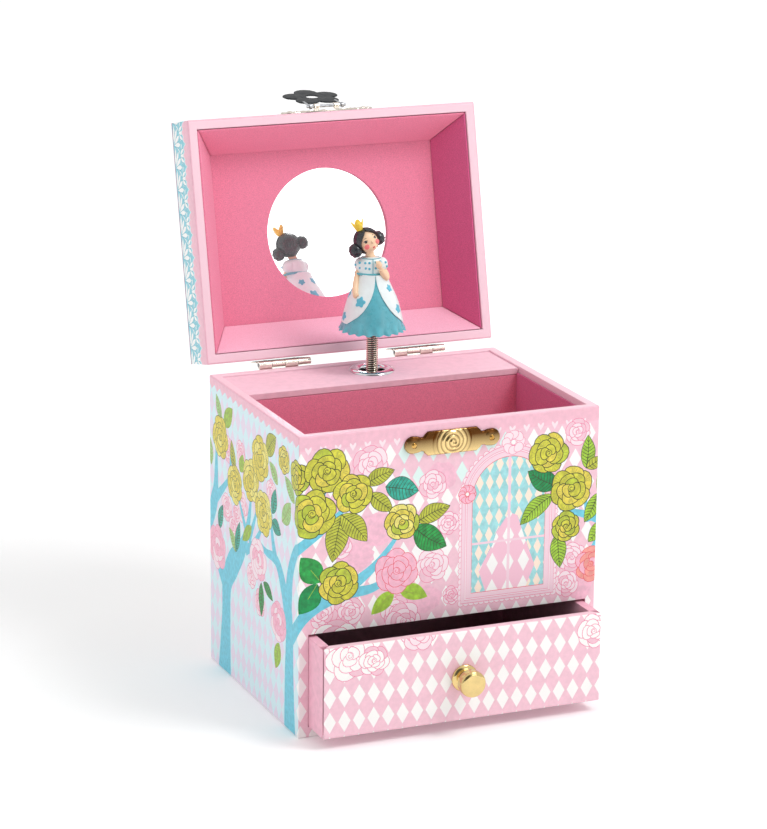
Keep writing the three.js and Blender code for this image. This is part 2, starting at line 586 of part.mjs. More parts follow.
// The upright spindle: a rubber-tyred wheel rolls on the barrel's face and turns the spring neck.
function buildSpindle() {
  const { x, y, r, cupR } = SPINDLE;
  const wheelLow = BARREL.z + WHEEL.offset - WHEEL.thick / 2;
  const wheelHigh = wheelLow + WHEEL.thick;
  const bore = r + PLAY;
  const wheel = turned([
    [bore, wheelLow], [WHEEL.r, wheelLow], [WHEEL.r, wheelHigh], [bore, wheelHigh], [bore, wheelLow],
  ], 28);
  addPart('friction_wheel', wheel.translate(x, y, 0), 'rubber');
  const cupFoot = NECK.foot - SPINDLE.cup;
  const shaft = join(
    upright(x, y, wheelLow - SPINDLE.below, cupFoot + 1, r, 20),
    upright(x, y, cupFoot, NECK.foot - GAP, cupR, 20),
  );
  addPart('spindle_shaft', shaft, 'steel');
}

// The winding key stands behind the case and turns the barrel's arbor.
function buildWindingKey() {
  const { x } = SPINDLE;
  const { z } = BARREL;
  const shankEnd = backY + KEY.shank;
  const arbor = bar([x, BARREL.front + ARBOR.bottom, z], [x, shankEnd - ARBOR.inKey, z],
    ARBOR.r, ARBOR.r, 16);
  addPart('winding_arbor', arbor, 'steel');
  const wingY = shankEnd + 4;
  const wings = [-1, 1].map((side) => cut(
    upright(x + side * KEY.wingAt, wingY, z - KEY.thick / 2, z + KEY.thick / 2, KEY.wingR, 28),
    upright(x + side * KEY.holeAt, wingY, z - KEY.thick, z + KEY.thick, KEY.holeR, 20),
  ));
  const stem = cut(
    bar([x, backY + 0.8, z], [x, shankEnd + 2, z], KEY.stemR, KEY.stemR, 28),
    bar([x, backY, z], [x, shankEnd - ARBOR.inKey + GAP, z], KEY.boreR, KEY.boreR, 16),
  );
  addPart('winding_key', join(stem, ...wings), 'nickel');
}

// ---- spring neck and doll -----------------------------------------------------------------
function buildNeck() {
  addPart('spring_neck', upright(SPINDLE.x, SPINDLE.y, NECK.foot, NECK.top, NECK.r, 24), 'nickel');
}

// The doll's arms hang from puffed sleeves; one hand rests on the skirt and one on the bodice.
function buildDoll() {
  const { hem, hemR, waist, shoulder, head, headR } = DOLL;
  const { bunR, sleeveR, shoulderR, elbowR, wristR, handR } = LIMB;
  const body = turned([
    [0, hem], [hemR, hem], [hemR - 0.5, hem + 3], [hemR - 3.4, hem + 10], [hemR - 7, hem + 18],
    [5.6, waist - 2], [4.9, waist], [5.6, waist + 3], [6.2, shoulder - 3], [4.6, shoulder],
    [2.4, shoulder + 1.4], [2.2, shoulder + 4], [0, shoulder + 4],
  ], 28);
  const crownFoot = head + headR - 1;
  const sleeves = [[-7, 0, shoulder - 3], [7, 0, shoulder - 3]];
  const elbows = [[-9.2, -1.6, waist], [9, -1.2, waist - 1]];
  const hands = [[-9.6, -6.4, waist - 8.6], [2.6, -6.2, waist + 4.6]];
  const parts = [
    ball([0, 0, head], headR, [1, 1, 1.05], 14),
    ball([-6.4, 0.6, head - 1.6], bunR, [1, 1, 1.2], 12),
    ball([6, 0.6, head - 0.2], bunR - 0.1, [1, 1, 1.1], 12),
    bar([-3.6, 0, crownFoot], [-4.4, 0, crownFoot + 4.2], 2.2, 3, 16),
  ];
  sleeves.forEach((sleeve, i) => {
    parts.push(ball(sleeve, sleeveR, [1, 1, 1], 12));
    parts.push(bar(sleeve, elbows[i], shoulderR, elbowR, 12));
    parts.push(ball(elbows[i], elbowR + 0.15, [1, 1, 1], 10));
    parts.push(bar(elbows[i], hands[i], elbowR + OVERLAP, wristR, 12));
    parts.push(ball(hands[i], handR, [1, 1, 1], 12));
  });
  const socket = bar([0, 0, hem - 1], [0, 0, NECK.top + GAP], NECK.r + GAP, NECK.r + GAP, 24);
  addPart('doll', cut(join(body, ...parts), socket).translate(SPINDLE.x, SPINDLE.y, 0), 'doll');
}

buildCase();
buildCompartment();
buildDrawer();
buildLatch();
buildHinges();
buildLid();
buildClasp();
buildMovement();
buildComb();
buildGovernor();
buildWindingKey();
buildSpindle();
buildNeck();
buildDoll();

export default model;
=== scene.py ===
import json
import math
import random

import bmesh
import bpy
import numpy as np
from mathutils import Matrix, Vector
from mathutils.geometry import delaunay_2d_cdt


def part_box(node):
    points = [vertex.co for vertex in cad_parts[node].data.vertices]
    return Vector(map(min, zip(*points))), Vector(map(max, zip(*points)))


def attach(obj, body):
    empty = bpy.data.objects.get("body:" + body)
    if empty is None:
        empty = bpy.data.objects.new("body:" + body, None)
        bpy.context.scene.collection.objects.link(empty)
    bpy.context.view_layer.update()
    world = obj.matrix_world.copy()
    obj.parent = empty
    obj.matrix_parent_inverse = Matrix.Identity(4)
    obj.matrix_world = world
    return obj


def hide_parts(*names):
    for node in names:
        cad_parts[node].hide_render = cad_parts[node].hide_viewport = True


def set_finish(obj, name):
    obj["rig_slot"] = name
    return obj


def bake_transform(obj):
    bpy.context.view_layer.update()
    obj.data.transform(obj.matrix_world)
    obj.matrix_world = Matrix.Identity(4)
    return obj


# A ballerina jewellery box: papered boards printed with rose trees, flocked linings, stamped metal
# fittings and a painted doll. Lengths are millimetres in the part's own frame; MM turns them to metres.
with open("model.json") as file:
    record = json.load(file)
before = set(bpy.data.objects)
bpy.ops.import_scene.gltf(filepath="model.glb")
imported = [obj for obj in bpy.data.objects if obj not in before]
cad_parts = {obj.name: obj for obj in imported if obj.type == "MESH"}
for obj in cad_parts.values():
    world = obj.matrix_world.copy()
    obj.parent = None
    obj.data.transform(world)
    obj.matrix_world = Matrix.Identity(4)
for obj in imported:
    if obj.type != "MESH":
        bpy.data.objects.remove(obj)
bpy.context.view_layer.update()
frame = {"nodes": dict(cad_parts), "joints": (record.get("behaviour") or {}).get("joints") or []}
scene = bpy.context.scene
nodes_by_name = frame["nodes"]
MM = 0.001
TURN = math.tau
QUARTER = TURN / 4


def box(node):
    """A CAD node's lowest and highest corners in millimetres."""
    low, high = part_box(node)
    return low / MM, high / MM


def pivot(name):
    """A joint's point in millimetres."""
    joint = next(j for j in frame["joints"] if j["name"] == name)
    return Vector(joint["pos_m"]) / MM


def shift(x, y, z):
    return Matrix.Translation((x, y, z))


def turn(degrees, axis):
    return Matrix.Rotation(math.radians(degrees), 4, axis)


def about(point, degrees, axis):
    return Matrix.Translation(point) @ turn(degrees, axis) @ Matrix.Translation(-point)


# ---- sizes, from the frame ------------------------------------------------------------------
front_low, front_high = box("case_front")
CASE_WIDTH = front_high.x - front_low.x
CASE_DEPTH = box("case_back")[1].y - front_low.y
CASE_HEIGHT = front_high.z
BOARD = front_high.y - front_low.y
HALF_WIDTH, HALF_DEPTH = CASE_WIDTH / 2, CASE_DEPTH / 2
SHELF_LOW = box("drawer_bay_shelf")[0].z
DRAWER_LOW, DRAWER_HIGH = box("drawer_front")
SPINDLE = pivot("doll_spin").xy
LID_OPEN, LID_DEPTH, RIM = 103, 24.4, CASE_HEIGHT + 1
CLASP_BACK, CLASP_ABOVE, CLASP_OUT = 163.5, 8.6, 3.1
lid_pose = about(pivot("lid_hinge"), -LID_OPEN, "X")
clasp_pin = Vector((0, -HALF_DEPTH - CLASP_OUT, RIM + CLASP_ABOVE))
clasp_pose = lid_pose @ about(clasp_pin, -CLASP_BACK, "X")


# ---- finishes -------------------------------------------------------------------------------
def rgb(*display):
    """A display colour, 0 to 255, as linear RGBA."""
    parts = [c / 255 for c in display]
    return (*(c / 12.92 if c <= 0.04045 else ((c + 0.055) / 1.055) ** 2.4 for c in parts), 1)


def shades(colour, spread):
    """A darker, an equal and a lighter tone of a display colour."""
    return [tuple(min(255, c * (1 + k * spread)) for c in colour) for k in (-1, 0, 1)]


def remap(tree, value, low, high, start, end, kind="LINEAR"):
    """A socket that carries a value's span from low to high over to the span from start to end."""
    node = tree.nodes.new("ShaderNodeMapRange")
    node.interpolation_type = kind
    for socket, number in (("From Min", low), ("From Max", high), ("To Min", start), ("To Max", end)):
        node.inputs[socket].default_value = number
    tree.links.new(value, node.inputs["Value"])
    return node.outputs["Result"]


def look(name, tones, rough=0.5, grain=2.0, bump=0.0, pores=0.3, spread=0.06, metal=0.0, **sockets):
    """A procedural finish. The tones run dark to light over a noise of that grain in millimetres, and
    one tone stays even; bump is the height of a finer relief, and pores its size."""
    material = bpy.data.materials.new(name)
    material.use_nodes = True
    tree = material.node_tree
    shader = tree.nodes["Principled BSDF"]
    where = tree.nodes.new("ShaderNodeTexCoord").outputs["Object"]

    def cloud(size, detail):
        noise = tree.nodes.new("ShaderNodeTexNoise")
        noise.inputs["Scale"].default_value = 1 / (size * MM)
        noise.inputs["Detail"].default_value = detail
        tree.links.new(where, noise.inputs["Vector"])
        return noise.outputs["Fac"]

    if len(tones) == 1:
        shader.inputs["Base Color"].default_value = rgb(*tones[0])
    else:
        ramp = tree.nodes.new("ShaderNodeValToRGB")
        ramp.color_ramp.elements.new(0.5)
        for stop, at, tone in zip(ramp.color_ramp.elements, (0.32, 0.5, 0.68), tones):
            stop.position, stop.color = at, rgb(*tone)
        tree.links.new(cloud(grain, 5), ramp.inputs["Fac"])
        tree.links.new(ramp.outputs["Color"], shader.inputs["Base Color"])
    gloss = remap(tree, cloud(grain * 0.7, 3), 0.3, 0.7, rough - spread, rough + spread)
    tree.links.new(gloss, shader.inputs["Roughness"])
    if bump:
        relief = tree.nodes.new("ShaderNodeBump")
        relief.inputs["Distance"].default_value = bump * MM
        tree.links.new(cloud(pores, 3), relief.inputs["Height"])
        tree.links.new(relief.outputs["Normal"], shader.inputs["Normal"])
    shader.inputs["Metallic"].default_value = metal
    for socket, value in sockets.items():
        shader.inputs[socket.replace("_", " ")].default_value = value
    return material


# The rim ink is the paper's pink made paler, in part as a painted highlight along the boards' top edges.
INKS = {
    "pink": (244, 199, 213), "white": (252, 250, 248), "band": (244, 190, 206), "rim": (251, 212, 224),
    "blush": (250, 228, 235), "wash": (245, 190, 209), "blue": (216, 240, 246), "lilac": (234, 221, 238),
    "mint": (224, 244, 240), "yellow": (206, 202, 62), "gold": (226, 208, 78), "lime": (186, 198, 58),
    "paleyellow": (238, 226, 120), "line": (48, 58, 28), "softline": (150, 152, 70),
    "olive": (188, 192, 60), "green": (30, 150, 66), "deep": (0, 138, 72), "teal": (42, 168, 146),
    "leaf": (158, 198, 54), "sage": (160, 205, 130), "sky": (112, 203, 224), "skyedge": (92, 186, 210),
    "rosepink": (248, 186, 206), "red": (234, 84, 104), "pinkline": (236, 132, 168),
    "salmon": (245, 160, 150), "curtain": (160, 218, 222), "cream": (255, 235, 216),
    "frame": (246, 212, 224), "glass": (246, 196, 214), "lace": (140, 208, 222),
    "lacedeep": (110, 190, 208), "palelace": (222, 244, 247),
    "dark": (62, 12, 32), "inside": (236, 150, 180), "core": (226, 150, 176),
}
MOTTLED = {"yellow": 0.1, "gold": 0.08, "lime": 0.1, "paleyellow": 0.06, "olive": 0.1, "green": 0.18,
           "deep": 0.16, "teal": 0.16, "leaf": 0.12, "sage": 0.1, "sky": 0.05, "rosepink": 0.04,
           "salmon": 0.05, "wash": 0.04, "curtain": 0.05, "pink": 0.018, "band": 0.02, "lace": 0.05}
inks = {}


def ink(name):
    """A printed, satin-laminated paper ink; broad inks are mottled as watercolour is."""
    if name not in inks:
        colour = INKS[name]
        tones = shades(colour, MOTTLED[name]) if name in MOTTLED else [colour]
        inks[name] = look(f"print_{name}", tones, 0.42, 2.2, 0.004, 0.35, 0.05)
    return inks[name]


def flocked(name, colour, spread):
    """A pile that pales where it is seen aslant."""
    return look(name, shades(colour, spread), 0.95, 0.45, 0.1, 0.22, 0.03, Sheen_Weight=0.9,
                Sheen_Roughness=0.4, Sheen_Tint=rgb(255, 205, 224), Specular_IOR_Level=0.15)


paper_edge = look("pink_paper", shades((244, 186, 204), 0.03), 0.5, 3, 0.006, 0.3)
paper_inside = look("pink_paper_inside", shades((238, 168, 190), 0.03), 0.55, 3, 0.006, 0.3)
# The deck's pink is paler than the flock's: painted light for the strong light falling on the deck from
# above.
deck_painted_light = look("deck_painted_light", shades((249, 205, 219), 0.02), 0.6, 3, 0.01, 0.3)
flock = flocked("flock_pink", (244, 142, 170), 0.06)
# Lit and shaded copies of the flock: painted light on the lid's back lining, painted shade on the case's
# linings and the lid's right lining.
flock_lit = flocked("flock_painted_light", (255, 190, 212), 0.05)
flock_painted_shade = flocked("flock_shaded", (216, 100, 144), 0.06)
flock_dark = look("flock_drawer", shades((74, 10, 34), 0.25), 0.95, 0.45, 0.1, 0.22, 0.03,
                  Sheen_Weight=0.1, Specular_IOR_Level=0.1)
# The drawer bay is near-black maroon: partly dark lining paper, partly painted shade for the unlit inside of
# the bay.
bay_dark_and_shade = look("bay_paper_and_painted_shade", shades((62, 12, 32), 0.15), 0.8, 2, 0.01, 0.4)
# The stamped gold's wide dark-to-light mottling stands in for reflections: painted reflection.
gold = look("stamped_gold", [(150, 100, 40), (208, 160, 84), (238, 202, 130)], 0.2, 4.5, 0.001, 0.5, 0.06, 1)
latch_gold = look("latch_gold", [(214, 166, 88)], 0.2, 4, 0.001, 0.5, 0.06, 1)
gold_polished = look("polished_gold", shades((226, 200, 138), 0.03), 0.1, 4, 0.001, 0.8, 0.03, 1)
nickel = look("nickel_plate", shades((226, 216, 204), 0.04), 0.2, 3, 0.003, 0.5, 0.06, 1)
coil = look("bright_coil", shades((236, 222, 204), 0.03), 0.14, 3, 0.001, 0.5, 0.04, 1)
chrome = look("bright_chrome", shades((226, 226, 228), 0.02), 0.1, 4, 0.001, 0.6, 0.03, 1)
steel = look("drawn_steel", shades((178, 180, 184), 0.06), 0.32, 1.5, 0.003, 0.3, 0.08, 1)
brass = look("movement_brass", shades((208, 168, 92), 0.07), 0.3, 2, 0.003, 0.4, 0.08, 1)
# A dark core for the spring: painted shade between its coils.
core_painted_shade = look("core_painted_shade", shades((70, 58, 52), 0.1), 0.5, 1.5, 0.003, 0.3, 0.08, 0.8)
casting = look("zinc_casting", shades((152, 154, 158), 0.09), 0.5, 1.2, 0.02, 0.3, 0.1, 0.9)
rubber = look("rubber", shades((44, 44, 46), 0.15), 0.85, 1, 0.02, 0.3)
enamel = look("black_enamel", shades((34, 37, 40), 0.12), 0.45, 3, 0.006, 1.2, 0.06, Specular_IOR_Level=0.2)
# The silvering glows faintly: painted light that whitens what the mirror shows.
silvering = look("mirror_silver", [(252, 252, 253)], 0.02, 20, 0.0, 1, 0.01, 1,
                 Emission_Color=(1, 1, 1, 1), Emission_Strength=0.07)


# ---- mesh tools -----------------------------------------------------------------------------
def piece(name, points, faces, looks, body, slot, replaced=(), which=None, smooth=35, at=None):
    """One piece from points in millimetres: normals outward, sharp above the smooth angle, riding on
    a body. which gives each face's look, and at places the points."""
    used = sorted({i for face in faces for i in face})
    place = {old: new for new, old in enumerate(used)}
    faces = [[place[i] for i in face] for face in faces]
    points = [Vector(points[i]) for i in used]
    if at is not None:
        points = [at @ p for p in points]
    mesh = bpy.data.meshes.new(name)
    mesh.from_pydata([p * MM for p in points], [], faces)
    for finish in looks:
        mesh.materials.append(finish)
    if which:
        mesh.polygons.foreach_set("material_index", which)
    work = bmesh.new()
    work.from_mesh(mesh)
    bmesh.ops.recalc_face_normals(work, faces=work.faces)
    work.to_mesh(mesh)
    work.free()
    mesh.shade_smooth()
    mesh.set_sharp_from_angle(angle=math.radians(smooth))
    made = bpy.data.objects.new(name, mesh)
    scene.collection.objects.link(made)
    if body:
        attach(made, body)
    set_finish(made, slot)
    if replaced:
        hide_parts(*replaced)
    return made


class Solid:
    """Closed shells gathered into one piece."""

    def __init__(self, *shells):
        self.points, self.faces = [], []
        for shell in shells:
            self.add(shell)

    def add(self, shell, at=Matrix.Identity(4)):
        points, faces = shell
        base = len(self.points)
        self.points += [at @ Vector(p) for p in points]
        self.faces += [[base + i for i in face] for face in faces]
        return self

    def make(self, name, finish, body, slot, replaced=(), smooth=35, at=None):
        return piece(name, self.points, self.faces, [finish], body, slot, replaced, None, smooth, at)


def angles(count):
    return [TURN * k / count for k in range(count)]


def circle(x, y, r, count=32, start=0.0, r2=None):
    return [(x + r * math.cos(start + TURN * k / count), y + (r2 or r) * math.sin(start + TURN * k / count))
            for k in range(count)]


def oblong(x0, x1, y0, y1):
    return [(x0, y0), (x1, y0), (x1, y1), (x0, y1)]


def ribbon(path, halves):
    """The outline of a ribbon along a flat path, with half its width at each point."""
    left, right = [], []
    for k, ((x, y), half) in enumerate(zip(path, halves)):
        (ax, ay), (bx, by) = path[max(k - 1, 0)], path[min(k + 1, len(path) - 1)]
        reach = math.hypot(bx - ax, by - ay) or 1
        dx, dy = (bx - ax) / reach * half, (by - ay) / reach * half
        left.append((x - dy, y + dx))
        right.append((x + dy, y - dx))
    return left + right[::-1]


def skin(rings, closed=False):
    """A closed shell over rings of points that match one to one; closed joins the last to the first."""
    count = len(rings[0])
    points = [p for ring in rings for p in ring]
    faces = []
    for k in range(len(rings) if closed else len(rings) - 1):
        a, b = k * count, (k + 1) % len(rings) * count
        faces += [[a + i, a + (i + 1) % count, b + (i + 1) % count, b + i] for i in range(count)]
    if not closed:
        faces += [list(range(count))[::-1], [len(points) - count + i for i in range(count)]]
    return points, faces


def lathe(profile, segments=64, closed=False):
    """A shell turned about Z; the profile lists radius and height, from one end to the other."""
    return skin([[(x, y, height) for x, y in circle(0, 0, r, segments)] for r, height in profile], closed)


def rounded(corners, radius, steps):
    """An open profile with its inner corners rounded."""
    out = [corners[0]]
    for before, corner, after in zip(corners, corners[1:], corners[2:]):
        c, p, n = Vector(corner), Vector(before), Vector(after)
        reach = min(radius, (p - c).length * 0.45, (n - c).length * 0.45)
        a, b = c + (p - c).normalized() * reach, c + (n - c).normalized() * reach
        for k in range(steps + 1):
            t = k / steps
            out.append(tuple(a * (1 - t) ** 2 + c * 2 * t * (1 - t) + b * t * t))
    return out + [corners[-1]]


def spline(knots, steps=8):
    """A Catmull-Rom curve through knots of any dimension."""
    ends = [knots[0], *knots, knots[-1]]
    out = []
    for k in range(len(knots) - 1):
        p0, p1, p2, p3 = (np.array(ends[k + j], float) for j in range(4))
        for s in range(steps):
            t = s / steps
            out.append(0.5 * (2 * p1 + (p2 - p0) * t + (2 * p0 - 5 * p1 + 4 * p2 - p3) * t * t
                              + (3 * p1 - p0 - 3 * p2 + p3) * t ** 3))
    return out + [np.array(knots[-1], float)]


def tube(path, radii, segments):
    """A capped round tube along a path."""
    path = [Vector(p) for p in path]
    side = Vector((0, 0, 1)).cross(path[1] - path[0])
    side = (side if side.length > 1e-6 else Vector((1, 0, 0))).normalized()
    rings = []
    for k, (p, r) in enumerate(zip(path, radii)):
        along = (path[min(k + 1, len(path) - 1)] - path[max(k - 1, 0)]).normalized()
        side = (side - along * side.dot(along)).normalized()
        other = along.cross(side)
        rings.append([p + side * (r * math.cos(a)) + other * (r * math.sin(a)) for a in angles(segments)])
    return skin(rings)


def ball(centre, radii, segments=24, rings=14):
    """A closed ellipsoid shell."""
    x, y, z = centre
    a, b, c = radii
    levels = [TURN / 2 * (k + 0.25) / rings for k in range(rings)]
    return skin([[(u, v, z - c * math.cos(t)) for u, v in
                  circle(x, y, a * math.sin(t), segments, 0, b * math.sin(t))] for t in levels])


def edge_distance(points, outlines):
    """Each point's distance to the nearest outline."""
    found = np.full(len(points), 1e9)
    for ring in outlines:
        for a, b in pairs(ring):
            a, ab = np.array(a), np.subtract(b, a)
            t = np.clip(((points - a) @ ab) / max(ab @ ab, 1e-12), 0, 1)
            found = np.minimum(found, np.linalg.norm(points - a - t[:, None] * ab, axis=1))
    return found


def pairs(ring):
    """Each corner of a closed outline with the next one."""
    return zip(ring, ring[1:] + ring[:1])


def anticlockwise(ring):
    return ring if sum(a[0] * b[1] - b[0] * a[1] for a, b in pairs(ring)) > 0 else ring[::-1]


def stamped(outline, holes, thick, relief, step=0.4, soft=0.35, both=False):
    """A pressed plate: its face follows relief(x, y) above the thickness, with softened edges. Points
    are x, y and height over the back; both presses the back as well."""
    rings = [anticlockwise(ring) for ring in (outline, *holes)]
    xs, ys = zip(*outline)
    rows = enumerate(np.arange(min(ys) + step, max(ys), step * 0.87))
    grid = np.array([(x, y) for row, y in rows
                     for x in np.arange(min(xs) + step * (1 + 0.5 * (row % 2)), max(xs), step)])
    grid = grid[edge_distance(grid, rings) > step * 0.6]
    loops, points = [], []
    for ring in rings:
        loops.append(list(range(len(points), len(points) + len(ring))))
        points += [Vector(p) for p in ring]
    points += [Vector(p) for p in grid]
    flat, _, faces, _, _, origins = delaunay_2d_cdt(points, [], loops, 1, 1e-4, True)
    inside = [not any(k in origin for k in range(1, len(loops))) and 0 in origin for origin in origins]
    faces = [list(face) for face, kept in zip(faces, inside) if kept]
    flat, count = np.array(flat), len(flat)
    near = np.minimum(edge_distance(flat, rings), soft)
    fall = soft - np.sqrt(np.maximum(0, soft ** 2 - (soft - near) ** 2))
    raised = np.array([relief(x, y) for x, y in flat]) * np.minimum(1, near / soft)
    heights = np.concatenate([thick + raised - fall, fall - raised if both else fall * 0])
    shell = [(x, y, height) for (x, y), height in zip([*flat, *flat], heights)]
    sides = {side: None for face in faces for side in pairs(face)}
    walls = [[a, b, b + count, a + count] for a, b in sides if (b, a) not in sides]
    return shell, faces + [[i + count for i in face[::-1]] for face in faces] + walls


# ---- print ----------------------------------------------------------------------------------
# The boards share one strip of paper: across it the left face runs from -CASE_DEPTH to 0, the front
# from 0 to CASE_WIDTH, then the right and the back; up it, millimetres from the foot.
class Print:
    """Inked shapes painted in order: a later shape covers an earlier one, and one with an inside shows
    only where that earlier shape is."""

    def __init__(self, seed):
        self.shapes = []
        self.chance = random.Random(seed)

    def add(self, name, outline, inside=None):
        self.shapes.append((name, [tuple(p) for p in anticlockwise(outline)], inside))
        return len(self.shapes) - 1

    def outlined(self, line, fill, outline, weight, inside=None):
        """A filled shape inside a drawn line."""
        cx = sum(p[0] for p in outline) / len(outline)
        cy = sum(p[1] for p in outline) / len(outline)
        grown = []
        for x, y in outline:
            reach = math.hypot(x - cx, y - cy) or 1
            grown.append((cx + (x - cx) * (1 + weight / reach), cy + (y - cy) * (1 + weight / reach)))
        self.add(line, grown, inside)
        return self.add(fill, outline, inside)

    def stroke(self, name, path, widths, inside=None):
        """A brush stroke along a path, with a width at each point or one for all."""
        if not hasattr(widths, "__len__"):
            widths = [widths] * len(path)
        return self.add(name, ribbon(path, [width / 2 for width in widths]), inside)

    def diamonds(self, name, check, across, up, inside=None):
        """A harlequin of diamonds over a span across and up; the check lists the pitch across and up,
        then a diamond's width and height."""
        pitch_x, pitch_y, width, height = check
        for y in steps(*up, pitch_y):
            for x in steps(*across, pitch_x):
                self.add(name, [(x - width / 2, y), (x, y - height / 2), (x + width / 2, y),
                                (x, y + height / 2)], inside)

    def beads(self, fill, spots, radius, line="pinkline", weight=0.2, count=12):
        """A round at every spot."""
        for x, y in spots:
            self.outlined(line, fill, circle(x, y, radius, count), weight)

    def petal(self, x, y, size, angle, line, fill, weight, hatch=None):
        """A rounded petal that opens outward along an angle, with a few brushed lines."""
        wave = self.chance.uniform(0, TURN)
        c, s = math.cos(angle), math.sin(angle)
        outline = []
        for t in angles(14):
            r = size * (1 + 0.06 * math.cos(3 * t + wave))
            u, v = r * math.cos(t) * 0.92, r * math.sin(t) * 1.14
            outline.append((x + u * c - v * s, y + u * s + v * c))
        filled = self.outlined(line, fill, outline, weight)
        for k in (-1, 0, 1) if hatch else ():
            a = angle + k * 0.42 + self.chance.uniform(-0.1, 0.1)
            start, end = size * 0.3, size * self.chance.uniform(0.66, 0.86)
            self.stroke(hatch, [(x + start * math.cos(a), y + start * math.sin(a)),
                                (x + end * math.cos(a), y + end * math.sin(a))], [0.12, 0.2], filled)

    def rose(self, x, y, radius, fills, line="line", weight=0.4, hatch="softline"):
        """A full rose: three rings of petals round a spiral eye."""
        start = self.chance.uniform(0, TURN)
        for ring, (count, out, size) in enumerate(((6, 0.60, 0.42), (5, 0.38, 0.34), (3, 0.19, 0.25))):
            for share in angles(count):
                a = start + ring * 0.6 + share + self.chance.uniform(-0.12, 0.12)
                grow = radius * size * self.chance.uniform(0.9, 1.08)
                self.petal(x + radius * out * math.cos(a), y + radius * out * math.sin(a), grow, a, line,
                           self.chance.choice(fills), weight, hatch if ring < 2 else None)
        self.outlined(line, fills[0], circle(x, y, radius * 0.15, 12), weight * 0.8)
        coil = ((radius * (0.03 + 0.012 * k), start + k * 0.7) for k in range(10))
        self.stroke(line, [(x + r * math.cos(a), y + r * math.sin(a)) for r, a in coil], weight * 0.8)

    def line_rose(self, x, y, radius, fill="blush"):
        """A rose in pink outline on pale paper."""
        self.rose(x, y, radius, [fill, fill, "pink"], "pinkline", 0.32, None)

    def leaf(self, x0, y0, x1, y1, width, fill, line="line", veins=True):
        """A pointed leaf from its foot to its tip, with a midrib and veins."""
        length = math.hypot(x1 - x0, y1 - y0)
        ux, uy = (x1 - x0) / length, (y1 - y0) / length
        bend = self.chance.uniform(-0.06, 0.06) * length

        def at(t, side):
            half = width / 2 * (math.sin(TURN / 2 * min(1, t) ** 0.86)) ** 0.85 if 0 < t < 1 else 0
            over = side * half + bend * math.sin(TURN / 2 * t)
            return (x0 + ux * length * t - uy * over, y0 + uy * length * t + ux * over)

        rim = [at(k / 12, 1) for k in range(12)] + [at(1 - k / 12, -1) for k in range(12)]
        filled = self.outlined(line, fill, rim, 0.28) if line else self.add(fill, rim)
        if not veins:
            return
        self.stroke(line or "sage", [at(k / 8, 0) for k in range(9)], [0.4 - 0.025 * k for k in range(9)])
        count = max(5, round(length / 1.75))
        for k in range(1, count):
            t = k / count * 0.9
            for side in (-1, 1):
                path = [at(t + 0.13 * s, side * s * (1.25 - 0.25 * s)) for s in (0, 0.35, 0.7, 1.0)]
                self.stroke(line or "sage", path, [0.3, 0.26, 0.22, 0.16], filled)

    def branch(self, knots, fill="sky"):
        """A tapering bough; the knots list across, up and half width."""
        path = spline(knots)
        self.stroke(fill, [p[:2] for p in path], [2 * p[2] for p in path])
        self.add(fill, circle(*path[-1], 12))

    def daisy(self, x, y, radius, petals, fill, line):
        """A ring of petals round a white eye."""
        for a in angles(petals):
            self.petal(x + radius * 0.62 * math.cos(a), y + radius * 0.62 * math.sin(a), radius * 0.36, a,
                       line, fill, 0.25)
        self.outlined(line, "white", circle(x, y, radius * 0.2, 10), 0.2)

    def band(self, name, x0, x1, low, high, tooth, drop):
        """A border along the top with a toothed lower edge."""
        edge = []
        count = round((x1 - x0) / tooth)
        step = (x1 - x0) / count
        for k in range(count):
            x = x0 + k * step
            edge += [(x, low), (x + step / 2, low - drop)]
        self.add(name, edge + [(x1, low), (x1, high), (x0, high)])


def steps(start, stop, pitch):
    return [start + pitch * k for k in range(int((stop - start) / pitch) + 1)]


def spaced(outline, pitch, offset=0.0):
    """Spots about a pitch apart along a closed outline, each with whether its stretch is level."""
    for (ax, ay), (bx, by) in pairs(outline):
        count = max(1, round(math.hypot(bx - ax, by - ay) / pitch))
        for k in range(count):
            t = (k + offset) / count
            yield ax + (bx - ax) * t, ay + (by - ay) * t, ay == by


LEFT, RIGHT = -CASE_DEPTH, CASE_WIDTH + CASE_DEPTH
TOP = CASE_HEIGHT + 12
YELLOWS, PALES, PINKS = ["yellow", "yellow", "gold", "lime"], ["gold", "paleyellow", "gold"], ["rosepink"]
SIDE_CHECK, FRONT_CHECK = (7.15, 11.8, 7.0, 11.5), (7.2, 11.8, 6.1, 10.3)
RED_LINE = ("red", 0.3, None)
KEY_UP, KEY_ROUND = 106, 10.4


